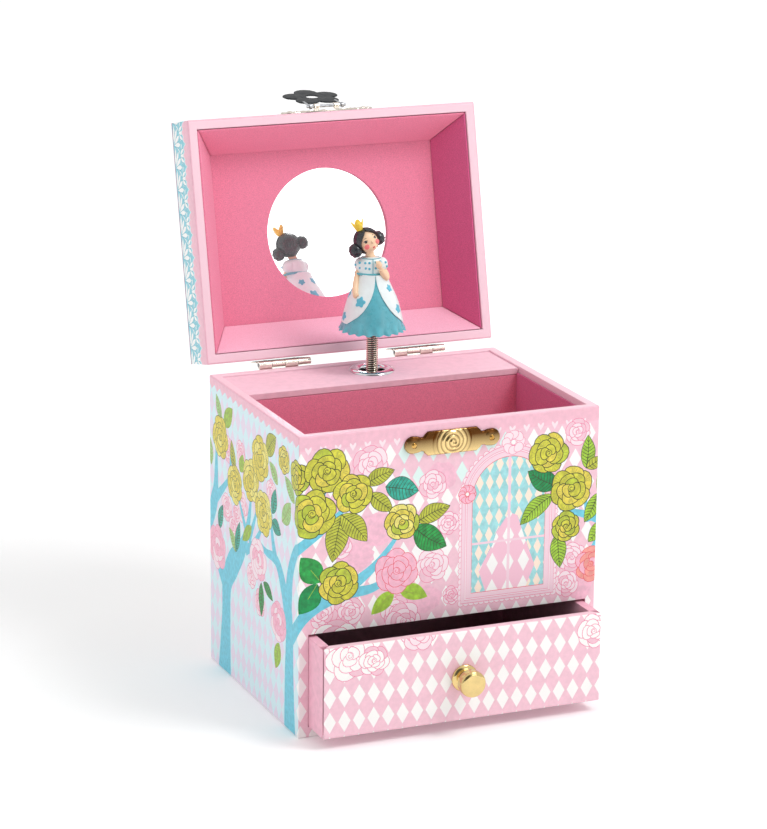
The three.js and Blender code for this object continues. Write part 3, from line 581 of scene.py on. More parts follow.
def case_print():
    """The case's paper: rose trees round an arched window."""
    p = Print(7)
    # side ground: pale blue with touching lilac diamonds
    for x0, x1 in ((LEFT - 2, 0), (CASE_WIDTH, RIGHT)):
        p.add("blue", oblong(x0, x1, -2, TOP))
        p.diamonds("lilac", SIDE_CHECK, (x0 + 5.4, x1 - 2), (1, 146))
    # front and back ground: white diamonds on pink, with watercolour washes
    for x0 in (0, RIGHT):
        p.diamonds("white", FRONT_CHECK, (x0 + 1.1, x0 + CASE_WIDTH), (1, 144))
    p.diamonds("mint", FRONT_CHECK, (51.5, 102), (119, 131))
    for x, y, w, h in ((38, 96, 12, 8), (60, 60, 11, 7), (28, 84, 9, 7), (70, 118, 8, 7), (142, 60, 7, 11)):
        p.add("wash", [(x + w * math.cos(a) * p.chance.uniform(0.9, 1.06),
                        y + h * math.sin(a) * p.chance.uniform(0.9, 1.06)) for a in angles(24)])
    # pink border at the top, with a row of small hearts along its foot on the front and back
    for x0, x1 in ((LEFT, 0), (CASE_WIDTH, RIGHT)):
        p.band("band", x0, x1, 140.2, TOP, SIDE_CHECK[0], 2.4)
    heart = ((0, 134.6), (1.6, 137.2), (1.5, 138.4), (0.8, 138.1), (0, 137.1), (-0.8, 138.1), (-1.5, 138.4),
             (-1.6, 137.2))
    for x0 in (0, RIGHT):
        p.add("band", oblong(x0, x0 + CASE_WIDTH, 136.6, TOP))
        for x in steps(x0 + 4.6, x0 + CASE_WIDTH - 2, FRONT_CHECK[0]):
            p.add("blush", [(x + dx, y) for dx, y in heart])
    line_roses(p)
    window(p)
    for dx in (0, CASE_WIDTH - LEFT):
        side_trees(p, dx)
    front_trees(p)
    back_trees(p)
    return p


def line_roses(p):
    """The pale outlined roses of the front."""
    for x, y, r in (
        (34.8, 127.5, 9), (65.8, 114.6, 7), (66, 75.9, 8.5), (25.6, 58.5, 6.5), (12.1, 58.5, 7),
        (48, 56, 7.5), (137.7, 71, 7.5), (134.8, 58.3, 6.5), (74, 95, 5.5), (17.9, 43.8, 12), (30, 40, 7.5),
        (52, 50.5, 9), (139, 132, 6.5), (141, 40, 8.5), (76, 60, 4.5), (20, 90, 6),
    ):
        p.line_rose(x, y, r, "blush" if y > 50 else "white")


def window(p):
    """The arched window in its lace frame, with curtains drawn aside."""
    mid, spring, foot, wide = 104.4, 105.3, 59.8, 18.5

    def arch(r, low):
        top = [(mid + r * math.cos(TURN / 2 * k / 24), spring + r * math.sin(TURN / 2 * k / 24))
               for k in range(25)]
        return [(mid + r, low), *top, (mid - r, low)]

    rings = [arch(wide + 5.2, foot - 4.6), arch(wide + 3.4, foot - 3.2), arch(wide + 2.6, foot - 2.4)]
    p.beads("blush", [(x, y) for x, y, _ in spaced(rings[0], 2.6)], 1.5)
    for fill, ring, weight in zip(("frame", "blush", "frame"), rings, (0.3, 0.24, 0.24)):
        p.outlined("pinkline", fill, ring, weight)
    glass = p.outlined("red", "glass", arch(wide, foot), 0.3)
    p.diamonds("white", (8, 12.8, 5.9, 10.9), (mid - 16, mid + 20), (60, 100), glass)
    left = [(mid, 124), (mid + 0.2, 97), (98.1, 88.1), (96.2, 82.1), (89.5, 70.3), (93.1, 59.6),
            (84, 59.6), (84, 124)]
    right = [(mid, 124), (mid, 97), (108.9, 95), (113.1, 83.3), (118.1, 70), (113.7, 59.5), (125, 59.5),
             (125, 124)]
    for cloth in (left, right):
        hung = p.outlined("skyedge", "curtain", cloth, 0.2, glass)
        p.diamonds("cream", (5, 8.4, 3.9, 8), (mid - 20, mid + 20), (62, 122), hung)
    for bar in ((mid - 0.6, mid + 0.8, foot, spring + wide), (mid - wide, mid + wide, 82.9, 84)):
        p.outlined("pinkline", "frame", oblong(*bar), 0.2, glass)
    p.daisy(83.2, 107.9, 4.6, 10, "rosepink", "red")
    p.daisy(106.1, 130.4, 6, 8, "blush", "pinkline")


def side_trees(p, dx):
    """The two trees of a side face; dx moves the left face's pair to the right face."""
    def at(knots):
        return [(x + dx, y, w) for x, y, w in knots]

    for x, y, r in ((-91, 113, 6.5), (-74, 116, 6), (-72, 90, 7.5), (-93, 84, 7), (-84, 76, 6),
                    (-34, 108, 6.5), (-60, 60, 6), (-49, 50, 6.5), (-80, 84, 5)):
        p.line_rose(x + dx, y, r)
    for knots in (
        [(-97, -2, 8.5), (-94.6, 28, 5.8), (-93.4, 46, 6), (-85, 58, 7), (-74, 68, 5), (-67, 78, 3),
         (-63, 88, 2), (-60.9, 97, 1.2)],
        [(-66.5, 79, 2), (-71, 85, 1.6), (-76, 92, 0.9)], [(-64, 76, 2.5), (-58, 85, 1.6), (-53, 94, 0.9)],
        [(-68, 70, 2.6), (-56, 77, 2.2), (-46, 88, 0.9)], [(-94, 44, 5), (-104, 53, 4), (-113, 63, 2.2)],
        [(-121, 64, 4), (-111, 82, 4.6), (-108, 92, 3), (-107.1, 113, 1)],
        [(-109, 84, 3), (-96, 94, 1.8), (-89, 101, 1.5), (-87.5, 115, 0.8)],
        [(-10.5, -2, 7), (-11.3, 25, 5.5), (-11, 44, 4.6), (-12, 57, 4.5)],
        [(-12, 50, 4), (-18, 66, 4), (-27, 77, 3), (-41, 77.5, 1.8), (-53, 80, 1)],
        [(-28, 76, 3), (-33, 88, 1.7), (-34, 99, 0.9)],
    ):
        p.branch(at(knots))
    for x0, y0, x1, y1, w, fill in (
        (-100.1, 125.8, -107.3, 136.4, 6, "sage"), (-96.8, 123.9, -85.2, 134.5, 8.5, "leaf"),
        (-114.6, 99.5, -116, 112.5, 5, "sage"), (-81.7, 105.2, -86.8, 119, 6.5, "olive"),
        (-75, 107, -71.2, 115.8, 7, "leaf"), (-40.4, 125.1, -28.4, 136, 10, "olive"),
        (-26.1, 114.2, -36.4, 122.2, 6, "sage"), (-32.8, 98.6, -28.8, 111.1, 7, "teal"),
        (-33.2, 94.5, -22.1, 91.5, 7, "teal"), (-103.7, 70.5, -98.7, 83.4, 6.5, "teal"),
        (-5.1, 111.2, -16.9, 120.8, 6.5, "sage"), (-20.3, 98.4, -9.9, 109.8, 9, "sage"),
        (-81, 65.5, -90.1, 74.7, 5.5, "sage"), (-81, 65.5, -75.7, 81.6, 6, "teal"),
        (-47.2, 60.4, -47.2, 44.1, 6.5, "green"), (-44.2, 61.5, -32.3, 56.3, 5.5, "green"),
        (-24.1, 38.2, -28.5, 24.9, 8, "leaf"), (-60, 84, -72, 74, 6, "leaf"),
    ):
        p.leaf(x0 + dx, y0, x1 + dx, y1, w, fill, "softline" if fill in ("sage", "leaf") else "line")
    for x, y, r in ((-101.7, 116.3, 10.6), (-82.2, 98.6, 9.8), (-60.9, 106.3, 11), (-48.4, 120.6, 11.4),
                    (-44.4, 95.4, 11), (-18, 128, 7)):
        p.rose(x + dx, y, r, PALES, "line", 0.3)
    for x, y, r in ((-106.2, 60.2, 11.5), (-51.5, 70.4, 10.5), (-25, 48.6, 10)):
        p.rose(x + dx, y, r, ["rosepink", "rosepink", "blush"], "pinkline", 0.28, None)


def front_trees(p):
    """The boughs that reach onto the front from both corners."""
    for knots in (
        [(-13, 55, 4.6), (-10.5, 75, 3.6), (-4, 88, 2.9), (0.7, 91.5, 2.5), (12.6, 99.5, 2), (22.5, 108, 1)],
        [(5, 98, 1.6), (10, 110, 1.2), (14, 121, 0.8)],
        [(-11, 44, 4), (-4, 51, 3.6), (2, 57.5, 3), (9, 63, 3.4), (19, 67.5, 3.6), (28, 72, 2.8),
         (38.6, 80, 1.8), (49, 92.5, 0.8)],
        [(25, 67.5, 2.8), (36, 68.2, 2.1), (47, 73.5, 1.2)],
        [(132, 95, 0.8), (142.6, 91.9, 1.8), (151, 88.5, 2.4), (160, 84, 3.6), (172, 68, 5), (178, 50, 6),
         (180, 24, 6.5), (181, -2, 8)],
        [(146, 87.7, 1.4), (144.6, 94, 1.1), (143.6, 100, 0.7)],
    ):
        p.branch(knots)
    for leaf in (
        (32.7, 118.2, 46.6, 123.5, 7.5, "olive"), (34.9, 113.5, 46, 104.2, 7.5, "olive"),
        (42.5, 115.9, 58.6, 112.3, 11, "teal"), (20.8, 105.1, 16.5, 83.1, 11, "olive"),
        (20.8, 105.1, 33.4, 91.2, 10, "olive"), (58.5, 97.5, 74.5, 103.4, 8.5, "olive"),
        (56.8, 95.2, 72.9, 84.2, 12, "green"), (143.8, 114, 144.4, 129.8, 7, "leaf"),
        (144.1, 114, 152, 118.5, 5.5, "olive"), (129.5, 106.7, 113.9, 115.5, 10, "deep"),
        (126.9, 102.9, 110.4, 90.1, 8.5, "leaf"), (150.4, 101, 143.6, 87.7, 7, "leaf"),
        (153, 87, 146, 77.7, 7, "leaf"), (129.7, 83.7, 131.3, 66.9, 8, "leaf"),
    ):
        p.leaf(*leaf)
    for x0, y0, x1, y1, w, fill in (
        (46.9, 65.6, 35.8, 55.5, 7.5, "leaf"), (49.7, 65.7, 63.8, 60.8, 8, "leaf"),
        (11, 74.1, 1, 87, 11.5, "green"), (9.3, 73.6, 0, 60, 11, "deep"),
    ):
        p.leaf(x0, y0, x1, y1, w, fill, None, False)
        p.stroke("softline" if fill == "leaf" else "leaf", [(x0, y0), ((x0 + x1) / 2, (y0 + y1) / 2)], 0.25)
    for x, y, r in ((-2, 124, 8), (13.8, 126.4, 10.8), (6.5, 107, 11.8), (26.6, 114.3, 9.8),
                    (19.4, 72.6, 10.2), (124.2, 123.2, 10), (136.4, 105, 11), (133.9, 86.6, 7.4)):
        p.rose(x, y, r, YELLOWS)
    p.rose(50.8, 98.2, 8.8, ["gold", "lime", "paleyellow"])
    p.rose(48.2, 75.2, 10.8, PINKS, *RED_LINE)
    p.rose(147.6, 66.7, 8.8, ["salmon", "rosepink", "salmon"], *RED_LINE)


def back_trees(p):
    """The back: two rose trees either side of the winding key's round."""
    mid = RIGHT + HALF_WIDTH - SPINDLE.x
    for side in (-1, 1):
        def at(*knots):
            return [(mid + side * x, y, w) for x, y, w in knots]

        p.branch(at((58, -2, 8), (55, 24, 6), (54, 44, 5), (48, 62, 4.4), (40, 78, 3), (30, 92, 1.6),
                    (26, 104, 0.8)))
        p.branch(at((53, 46, 4), (60, 66, 3.4), (63, 84, 2.2), (58, 100, 1)))
        p.branch(at((47, 62, 3.4), (34, 66, 2.6), (20, 62, 1)))
        for x0, y0, x1, y1, w, fill in ((26, 104, 16, 116, 9, "olive"), (30, 92, 18, 88, 8, "teal"),
                                        (58, 100, 70, 110, 9, "leaf"), (20, 62, 8, 54, 9, "green"),
                                        (63, 84, 72, 78, 8, "deep"), (44, 70, 54, 82, 8, "olive"),
                                        (34, 66, 30, 52, 7, "leaf"), (42, 118, 44, 132, 8, "olive")):
            p.leaf(mid + side * x0, y0, mid + side * x1, y1, w, fill)
        for x, y, r in ((30, 106, 10), (46, 116, 11), (60, 104, 10.5), (38, 84, 9.5), (62, 84, 8)):
            p.rose(mid + side * x, y, r, YELLOWS)
        p.rose(mid + side * 21, 63, 9, PINKS, *RED_LINE)
        p.line_rose(mid + side * 14, 34, 9)
        p.line_rose(mid + side * 34, 26, 7.5, "white")
    p.beads("blush", circle(mid, KEY_UP, KEY_ROUND, 24), 1.6)
    p.outlined("pinkline", "frame", circle(mid, KEY_UP, KEY_ROUND, 48), 0.25)


def lid_print():
    """The lid's sides: a pink border at the rim and fans of white petals in turquoise lace. Measured up
    from the top edge to the rim."""
    p = Print(11)
    fans, high, foot, rise = 49, 40, 17.4, 4.2
    whole = 2 * (CASE_WIDTH + CASE_DEPTH)
    pitch = whole / fans
    x0, x1 = LEFT, LEFT + whole
    p.add("lace", oblong(x0, x1, -2, high))
    for y, offset, size in ((7.5, 0.5, 0.72), (0.6, 0, 0.95)):
        for k in range(-1, fans + 1):
            fan(p, x0 + (k + offset) * pitch, y, pitch * size)
    for name, raised in (("palelace", 0.0), ("band", 0.9)):
        edge = []
        for k in range(fans * 12):
            t = k / 12
            lobes = 0.62 * abs(math.sin(TURN / 2 * t)) + 0.38 * abs(math.sin(TURN * 1.5 * t))
            edge.append((x0 + t * pitch, foot + raised - rise * lobes))
        p.add(name, edge + [(x1, foot + raised), (x1, high), (x0, high)])
    return p


def fan(p, x, y, size):
    """A fan of seven leaf-shaped petals."""
    petal = ((0.14, 0), (0.45, 0.12), (0.72, 0.15), (0.97, 0), (0.72, -0.15), (0.45, -0.12))
    p.outlined("lacedeep", "lace", circle(x, y, size, 24), 0.3)
    for k in range(7):
        a = QUARTER + (k - 3) * 0.44
        c, s = math.cos(a), math.sin(a)
        for name, grow in (("lacedeep", 1.0), ("white", 0.74)):
            p.add(name, [(x + u * size * c - v * grow * size * s, y + u * size * s + v * grow * size * c)
                         for u, v in petal])


def top_print():
    """The lid's top: a lace border round a bouquet on pale blue."""
    p = Print(19)
    w, d, pitch, outward = HALF_WIDTH, HALF_DEPTH, 8.6, 4
    p.diamonds("lilac", SIDE_CHECK, (-w, w), (-d, d))
    loop = oblong(-w, w, -d, d)
    inner = [(x * 0.9, y * 0.87) for x, y in loop]
    p.beads("palelace", [(x, y) for x, y, _ in spaced(inner, pitch)], 5.4, "lace", 0.4, 20)
    for (a, b), (c, e) in zip(pairs(loop), pairs(inner)):
        p.add("band", [a, b, e, c])
    for x, y, level in spaced(inner, pitch, 0.5):
        dx, dy = (0, math.copysign(outward, y)) if level else (math.copysign(outward, x), 0)
        p.daisy(x + dx, y + dy, 2.6, 6, "white", "pinkline")
    for x, y, r in ((-34, 22, 9), (36, 24, 8), (-38, -24, 8), (36, -22, 9)):
        p.line_rose(x, y, r, "white")
    for k, (foot, tip) in enumerate(zip(circle(0, 0, 18, 10, 0.2, 14), circle(0, 0, 36, 10, 0.2, 29))):
        p.leaf(*foot, *tip, 9, ("olive", "teal", "leaf", "green")[k % 4])
    for k, (x, y) in enumerate(circle(0, 0, 17, 6, 0, 13.5)):
        colours = (YELLOWS, "line", 0.3) if k % 2 else (PINKS, *RED_LINE)
        p.rose(x, y, 9.4, *colours)
    p.rose(0, 0, 10.5, PALES)
    return p


# ---- papered boards -------------------------------------------------------------------------
CORNER_STEPS = 3


def sheet_path(height, thick, edge, lip):
    """Rows down the paper of a board, each (along the sheet, depth, height): the under edge, face, top
    edge, rim and inner face."""
    rows = []
    flat = height + thick - edge - lip
    for k in range(CORNER_STEPS + 1):
        part = k / CORNER_STEPS
        s, c = math.sin(part * QUARTER), math.cos(part * QUARTER)
        rows.append((edge * part, edge * (1 - s), edge * (1 - c)))
        rows.append((height - edge + edge * part, edge * (1 - c), height - edge + edge * s))
        rows.append((flat + lip * part, thick - lip + lip * s, height - lip + lip * c))
    return sorted(rows) + [(flat + height, thick, 0.0)]


class Sheet:
    """Printed paper cut into triangles along the edges of every shape on it."""

    def __init__(self, domain, shapes, ground, top=1e9):
        self.points, self.edges, self.loops, self.inks, self.clips = [], [], [], [ground], {}
        self.holes = set()
        self.loop(domain)
        places = {}
        (x0, x1), (y0, y1) = ((min(axis), max(axis)) for axis in zip(*domain))
        for number, (name, outline, inside) in enumerate(shapes):
            xs, ys = zip(*outline)
            near = min(xs) < x1 and max(xs) > x0 and min(ys) < min(top, y1) and max(ys) > y0
            if near and (inside is None or inside in places):
                places[number] = len(self.loops)
                if inside is not None:
                    self.clips[len(self.loops)] = places[inside]
                self.cover(name, outline)

    def loop(self, outline):
        start = len(self.points)
        self.points += [Vector(p) for p in outline]
        self.loops.append(list(range(start, len(self.points))))

    def cover(self, name, outline):
        self.inks.append(name)
        self.loop(outline)

    def hole(self, outline):
        self.holes.add(len(self.loops))
        self.inks.append(None)
        self.loop(outline)

    def line(self, a, b):
        self.edges.append((len(self.points), len(self.points) + 1))
        self.points += [Vector(a), Vector(b)]

    def shown(self, number, cover):
        """Whether a shape shows, given every shape over a spot: what it lies inside must show too."""
        holder = self.clips.get(number)
        return holder is None or (holder in cover and self.shown(holder, cover))

    def cut(self):
        """The sheet's points, its triangles and each triangle's ink."""
        flat, _, found, _, _, origins = delaunay_2d_cdt(self.points, self.edges, self.loops, 1, 2e-4, True)
        triangles, names = [], []
        for triangle, origin in zip(found, origins):
            cover = set(origin)
            if 0 in cover and not cover & self.holes:
                triangles.append(triangle)
                names.append(self.inks[max(i for i in cover if self.shown(i, cover))])
        return flat, triangles, names


def printed(name, points, faces, names, body, node, place):
    """A printed piece, each of whose faces has an ink's name."""
    palette = sorted(set(names))
    piece(name, points, faces, [ink(i) for i in palette], body, "printed_board", [node],
          [palette.index(i) for i in names], 30, place)


def papered_board(name, body, node, size, shapes, ground, covers, place, hole=None, edge=0.7, lip=0.4):
    """A board wrapped in printed paper, with rounded edges and mitred ends. Points run across the face
    from its middle, inward and up; covers lists (ink, low, high) down the sheet past the rim."""
    width, height, thick = size
    half = width / 2
    rows = sheet_path(height, thick, edge, lip)
    ends = [(half, 0.0), (half, height), (half - edge, height)]
    ends += [(half - depth, v) for v, depth, _ in rows if v > height + 1e-6]
    sheet = Sheet(ends + [(-u, v) for u, v in reversed(ends)], shapes, ground, height)
    inner_foot = rows[-1][0]
    for cover, low, high in covers:
        low, high = (inner_foot - z if z < height - lip else height + 0.02 for z in (high, low))
        sheet.cover(cover, oblong(-half, half, low, high + 1e-3))
    rims = []
    if hole:
        rims = [hole, [(u, inner_foot - z) for u, z in hole]]
        sheet.hole(rims[0])
        sheet.hole(rims[1][::-1])
    for v, depth, _ in rows[1:-1]:
        reach = half if v <= height + 1e-6 else half - depth
        sheet.line((-reach, v), (reach, v))
    for k in range(CORNER_STEPS):
        for side in (-1, 1):
            u = side * (half - edge + edge * k / CORNER_STEPS)
            sheet.line((u, 0), (u, height))
    flat, triangles, names = sheet.cut()
    vs, depths, heights = zip(*rows)

    def lift(u, v):
        depth, z = np.interp(v, vs, depths), np.interp(v, vs, heights)
        over = abs(u) - (half - edge)
        if over > 1e-6 and v <= height + 1e-4:
            reach = max(0.0, edge - depth)
            angle = min(1, over / edge) * TURN / 8
            u = math.copysign(half - edge + reach * math.sin(angle), u)
            depth = edge - reach * math.cos(angle)
        return u, depth, z

    points, keys, where, index = [], {}, [], []
    for u, v in flat:
        spot = lift(u, v)
        key = (*(round(c, 4) for c in spot), v > height + 1)
        if key not in keys:
            keys[key] = len(points)
            points.append(spot)
            where.append((u, v))
        index.append(keys[key])
    faces, inks_used = [], []
    for triangle, name_of in zip(triangles, names):
        corner = [index[i] for i in triangle]
        if len(set(corner)) == 3:
            faces.append(corner)
            inks_used.append(name_of)
    used = {i for f in faces for i in f}
    ordered = sorted(used, key=lambda i: where[i][1])
    caps = [[i for i in ordered if abs(side * points[i][0] + points[i][1] - half) < 2e-4] for side in (-1, 1)]
    outer = [i for i in ordered if where[i][1] < 1e-4]
    inner = [i for i in ordered if where[i][1] > inner_foot - 1e-4]
    caps.append(sorted(outer, key=lambda i: points[i][0]) + sorted(inner, key=lambda i: -points[i][0]))
    for stretch in zip(*(pairs(rim) for rim in rims)):
        reveal = []
        for (a, b), order in zip(stretch, (1, -1)):
            a, b = Vector(a), Vector(b)
            along = (b - a).normalized()
            near = []
            for i in used:
                spot = Vector(where[i]) - a
                reach = spot.dot(along)
                if -1e-3 < reach < (b - a).length + 1e-3 and (spot - along * reach).length < 1e-3:
                    near.append((reach * order, i))
            reveal += [i for _, i in sorted(near)]
        caps.append(reveal)
    inks_used += [ground, ground] + ["core"] * (len(caps) - 2)
    printed(name, points, faces + caps, inks_used, body, node, place)


def shapes_at(drawing, start, width, up=0.0):
    """The drawing's shapes, measured from the middle of a board that starts there on the strip."""
    return [(name, [(x - start - width / 2, y - up) for x, y in outline], inside)
            for name, outline, inside in drawing.shapes]


# The four walls of a box: where each starts on the strip of paper, its width and its place.
WALLS = {
    "front": (0, CASE_WIDTH, shift(0, -HALF_DEPTH, 0)),
    "right": (CASE_WIDTH, CASE_DEPTH, shift(HALF_WIDTH, 0, 0) @ turn(90, "Z")),
    "back": (RIGHT, CASE_WIDTH, shift(0, HALF_DEPTH, 0) @ turn(180, "Z")),
    "left": (LEFT, CASE_DEPTH, shift(-HALF_WIDTH, 0, 0) @ turn(-90, "Z")),
}


def build_case():
    """The case's walls and the drawer's front, cut from one print so that it runs on across them."""
    drawing = case_print()
    inset = HALF_WIDTH - BOARD - 0.3
    holes = {"front": oblong(-inset, inset, 5, 49.7),
             "back": circle(-SPINDLE.x, pivot("key_turn").z, 3.8, 24)}
    # The "dark" cover below the shelf is partly dark lining paper and partly painted shade for the unlit
    # inside of the drawer bay.
    covers = [("rim", 0, CASE_HEIGHT + 1), ("inside", 0, 140), ("dark", 0, SHELF_LOW + 1)]
    for side, (start, width, place) in WALLS.items():
        papered_board(f"case_{side}_papered", "case", f"case_{side}", (width, CASE_HEIGHT, BOARD),
                      shapes_at(drawing, start, width), "pink" if width == CASE_WIDTH else "blue",
                      covers, place, holes.get(side))
    low = DRAWER_LOW
    width, height = DRAWER_HIGH.x - low.x, DRAWER_HIGH.z - low.z
    papered_board("drawer_front_papered", "drawer", "drawer_front", (width, height, BOARD),
                  shapes_at(drawing, HALF_WIDTH + low.x, width, low.z), "pink",
                  [("rim", 0, height + 1), ("dark", 0, height - 2)], shift(0, low.y, low.z),
                  circle(0, box("drawer_knob")[0].z + 6.5 - low.z, 1.9, 24), 0.5, 0.4)


def build_lid_walls():
    """The lid's walls, printed on the same strip turned upside down."""
    drawing = lid_print()
    height = LID_DEPTH - 0.9
    rim_up = lid_pose @ shift(0, 0, RIM + height) @ turn(180, "X")
    for side, (start, width, place) in WALLS.items():
        name = {"front": "lid_back", "back": "lid_front"}.get(side, f"lid_{side}")
        papered_board(f"{name}_papered", "lid", name, (width, height, BOARD),
                      shapes_at(drawing, start, width), "lace",
                      [("rim", 0, height + 1), ("inside", 0, height - 1.5)], rim_up @ place)


def build_lid_top():
    """The lid's top board: printed, with its edges rounded over."""
    edge, thick = 0.7, 0.88
    w, d = HALF_WIDTH - edge, HALF_DEPTH - edge

    def ring(grow):
        return oblong(-w - grow, w + grow, -d - grow, d + grow)

    sheet = Sheet(ring(thick), top_print().shapes, "blue")
    for k in range(CORNER_STEPS + 1):
        for a, b in pairs(ring(edge * k / CORNER_STEPS)):
            sheet.line(a, b)
    for a, b in zip(ring(0), ring(thick)):
        sheet.line(a, b)
    flat, faces, names = sheet.cut()
    points = []
    for u, v in flat:
        over = [max(0, abs(u) - w), max(0, abs(v) - d)]
        far = max(over)
        angle = min(1, far / edge) * QUARTER
        out = edge * math.sin(angle)
        spread = [o / far * out if far > 1e-6 else 0 for o in over]
        points.append((math.copysign(min(abs(u), w) + spread[0], u),
                       math.copysign(min(abs(v), d) + spread[1], v),
                       thick - edge * (1 - math.cos(angle)) - max(0, far - edge)))
    rim = [i for i in {i for face in faces for i in face} if points[i][2] < 1e-4]
    faces = [list(face) for face in faces] + [sorted(rim, key=lambda i: math.atan2(*points[i][1::-1]))]
    printed("lid_top_papered", points, faces, names + ["core"], "lid", "lid_top",
            lid_pose @ shift(0, 0, RIM + LID_DEPTH - thick))


# ---- carried-over CAD nodes -----------------------------------------------------------------
def dress(finish, bevel, segments, *names):
    """CAD nodes in a better finish, with their edges eased."""
    for name in names:
        node = nodes_by_name[name]
        for slot in node.material_slots:
            slot.link, slot.material = "OBJECT", finish
        node.modifiers.new("welded", "WELD").merge_threshold = 1e-6
        flat = node.modifiers.new("flat faces", "DECIMATE")
        flat.decimate_type, flat.angle_limit = "DISSOLVE", math.radians(0.5)
        ease = node.modifiers.new("eased", "BEVEL")
        ease.width, ease.segments, ease.limit_method = bevel * MM, segments, "ANGLE"
        ease.angle_limit = math.radians(40)
        ease.harden_normals = True


def build_nodes():
    """The nodes that keep their CAD shape: linings, inner boards and plain metal parts."""
    dress(flock, 0.25, 2, "compartment_floor", "movement_partition", "lid_lining_front", "lid_lining_left")
    # Shaded and lit copies of the flock: painted shade on these linings, painted light on the lid's back
    # lining.
    dress(flock_painted_shade, 0.25, 2, "lining_front", "lining_left", "lining_right", "lid_lining_right")
    dress(flock_lit, 0.25, 2, "lid_lining_back")
    dress(flock, 0.2, 2, "mirror_panel")
    # The deck takes the paler pink that stands in as painted light from above.
    dress(deck_painted_light, 0.7, 4, "music_deck")
    # The shelf's near-black maroon is partly dark paper and partly painted shade.
    dress(bay_dark_and_shade, 0.2, 2, "drawer_bay_shelf")
    dress(paper_inside, 0.2, 2, "case_bottom")
    dress(flock_dark, 0.1, 2, "drawer_felt")
    dress(paper_edge, 0.2, 2, "drawer_bottom")
    dress(paper_edge, 0.35, 3, "drawer_left", "drawer_right", "drawer_back")
    dress(casting, 0.12, 2, "movement_bedplate", "governor_cheek_left", "governor_cheek_right")
    dress(steel, 0.12, 2, "comb", "comb_screw_lower", "comb_screw_upper", "governor_fan", "spindle_shaft",
          "winding_arbor", "clasp_pin", "hinge_pin_left", "hinge_pin_right", "knob_screw")
    dress(nickel, 0.12, 2, "spring_barrel")
    dress(rubber, 0.12, 2, "friction_wheel")
    dress(brass, 0.12, 2, "pinned_cylinder")


def build_mirror():
    """The round mirror: a flat disc with an eased edge, on the lid's inner panel."""
    node, eased = nodes_by_name["mirror"], 0.25
    closed = lid_pose.inverted() @ Matrix.Scale(1 / MM, 4) @ node.matrix_world
    spots = [closed @ vertex.co for vertex in node.data.vertices]
    (x0, x1), (y0, y1), (z0, z1) = ((min(p[k] for p in spots), max(p[k] for p in spots)) for k in range(3))
    radius = (x1 - x0) / 2
    rim = [(radius - eased, z0), (radius, z0 + eased), (radius, z1 - eased), (radius - eased, z1)]
    Solid(lathe(rim, 160)).make("mirror_disc", silvering, "lid", "mirror_glass", ["mirror"], 30,
                                lid_pose @ shift((x0 + x1) / 2, (y0 + y1) / 2, 0))


def build_drawer_wrap():
    """Paper glued along each side of the drawer, over the joint behind its front board."""
    for name, side in (("left", -1), ("right", 1)):
        low, high = box(f"drawer_{name}")
        outer = max(high.x, -low.x)
        corners = oblong(DRAWER_LOW.y + 0.75, high.y - 0.5, low.z + 0.45, high.z - 0.45)
        sheet = skin([[(side * (outer + x), y, z) for y, z in corners] for x in (-0.05, 0.12)])
        Solid(sheet).make(f"drawer_{name}_wrap", paper_edge, "drawer", "pink_board")


# ---- turned and pressed metal ---------------------------------------------------------------
def build_knob():
    """The drawer's turned knob, hollow for its screw."""
    low, high = box("drawer_knob")
    x, z = (low.x + high.x) / 2, (low.z + high.z) / 2
    profile = [(1.75, 5.2), (1.75, 0), (6.5, 0), (6.5, 0.8), (5.6, 1.5), (3.9, 2.1), (3.1, 3.3), (3.3, 4.5),
               (5.4, 5.1), (6.3, 6.1), (6.35, 9.6), (5.9, 10.5), (4.6, 10.95), (0.01, 11)]
    shell = lathe(rounded(profile, 0.5, 4), 96)
    Solid(shell).make("drawer_knob_turned", gold_polished, "drawer", "brass", ["drawer_knob"], 50,
                      shift(x, high.y, z) @ turn(90, "X"))


def build_grommet():
    """The domed ring round the spindle's hole in the deck."""
    low, high = box("spindle_grommet")
    crest, reach, bore, fall = 8.6, 2.5, 6.1, 1.35
    foot = high.z - low.z - fall
    flange = [(crest + reach * math.cos(a), foot + fall * math.sin(a)) for a in np.linspace(0, TURN / 2, 15)]
    ring = lathe([(bore, 0), (7.2, 0), (7.2, foot), *flange], 96, True)
    Solid(ring).make("spindle_grommet_turned", chrome, "case", "nickel", ["spindle_grommet"], 50,
                     shift(*SPINDLE, low.z))


PLATE_HALF, PLATE_TALL, PLATE_END, NAIL_AT = 23.8, 5.7, 4.1, 19.4


def latch_outline():
    """A wide middle with bevelled shoulders, narrow necks and round ends."""
    quarter = circle(PLATE_HALF - PLATE_END, 0, PLATE_END, 48)[:13]
    shoulder = ((6.2, 3.9), (8.2, 3.3), (9.4, 3.4), (9.9, 4.2), (11.6, PLATE_TALL))
    quarter += [*((PLATE_HALF - x, y) for x, y in shoulder), (4, PLATE_TALL)]
    right = [(x, -y) for x, y in reversed(quarter[1:])] + quarter
    return right + [(-x, -y) for x, y in right]


ROSETTE, ROSETTE_PITCH = 6.0, 2.0


def latch_relief(x, y):
    """The pressed pattern: a spiral rosette on a crowned plate with domed ends."""
    r = math.hypot(x, y)
    swirl = math.cos(TURN * r / ROSETTE_PITCH - math.atan2(y, x))
    crown = 0.1 + 0.5 * (1 - min(1, abs(y) / PLATE_TALL) ** 2)
    if r < ROSETTE:
        return crown + 0.7 * (1 - (r / ROSETTE) ** 2) + 0.2 * swirl * min(1, r)
    fade = max(0, 1 - (r - ROSETTE) / 5) ** 2 if abs(x) < 10.5 else 0
    return crown + 0.14 * swirl * fade + 0.35 * max(0, 1 - (math.hypot(abs(x) - NAIL_AT, y) / 3.6) ** 2)


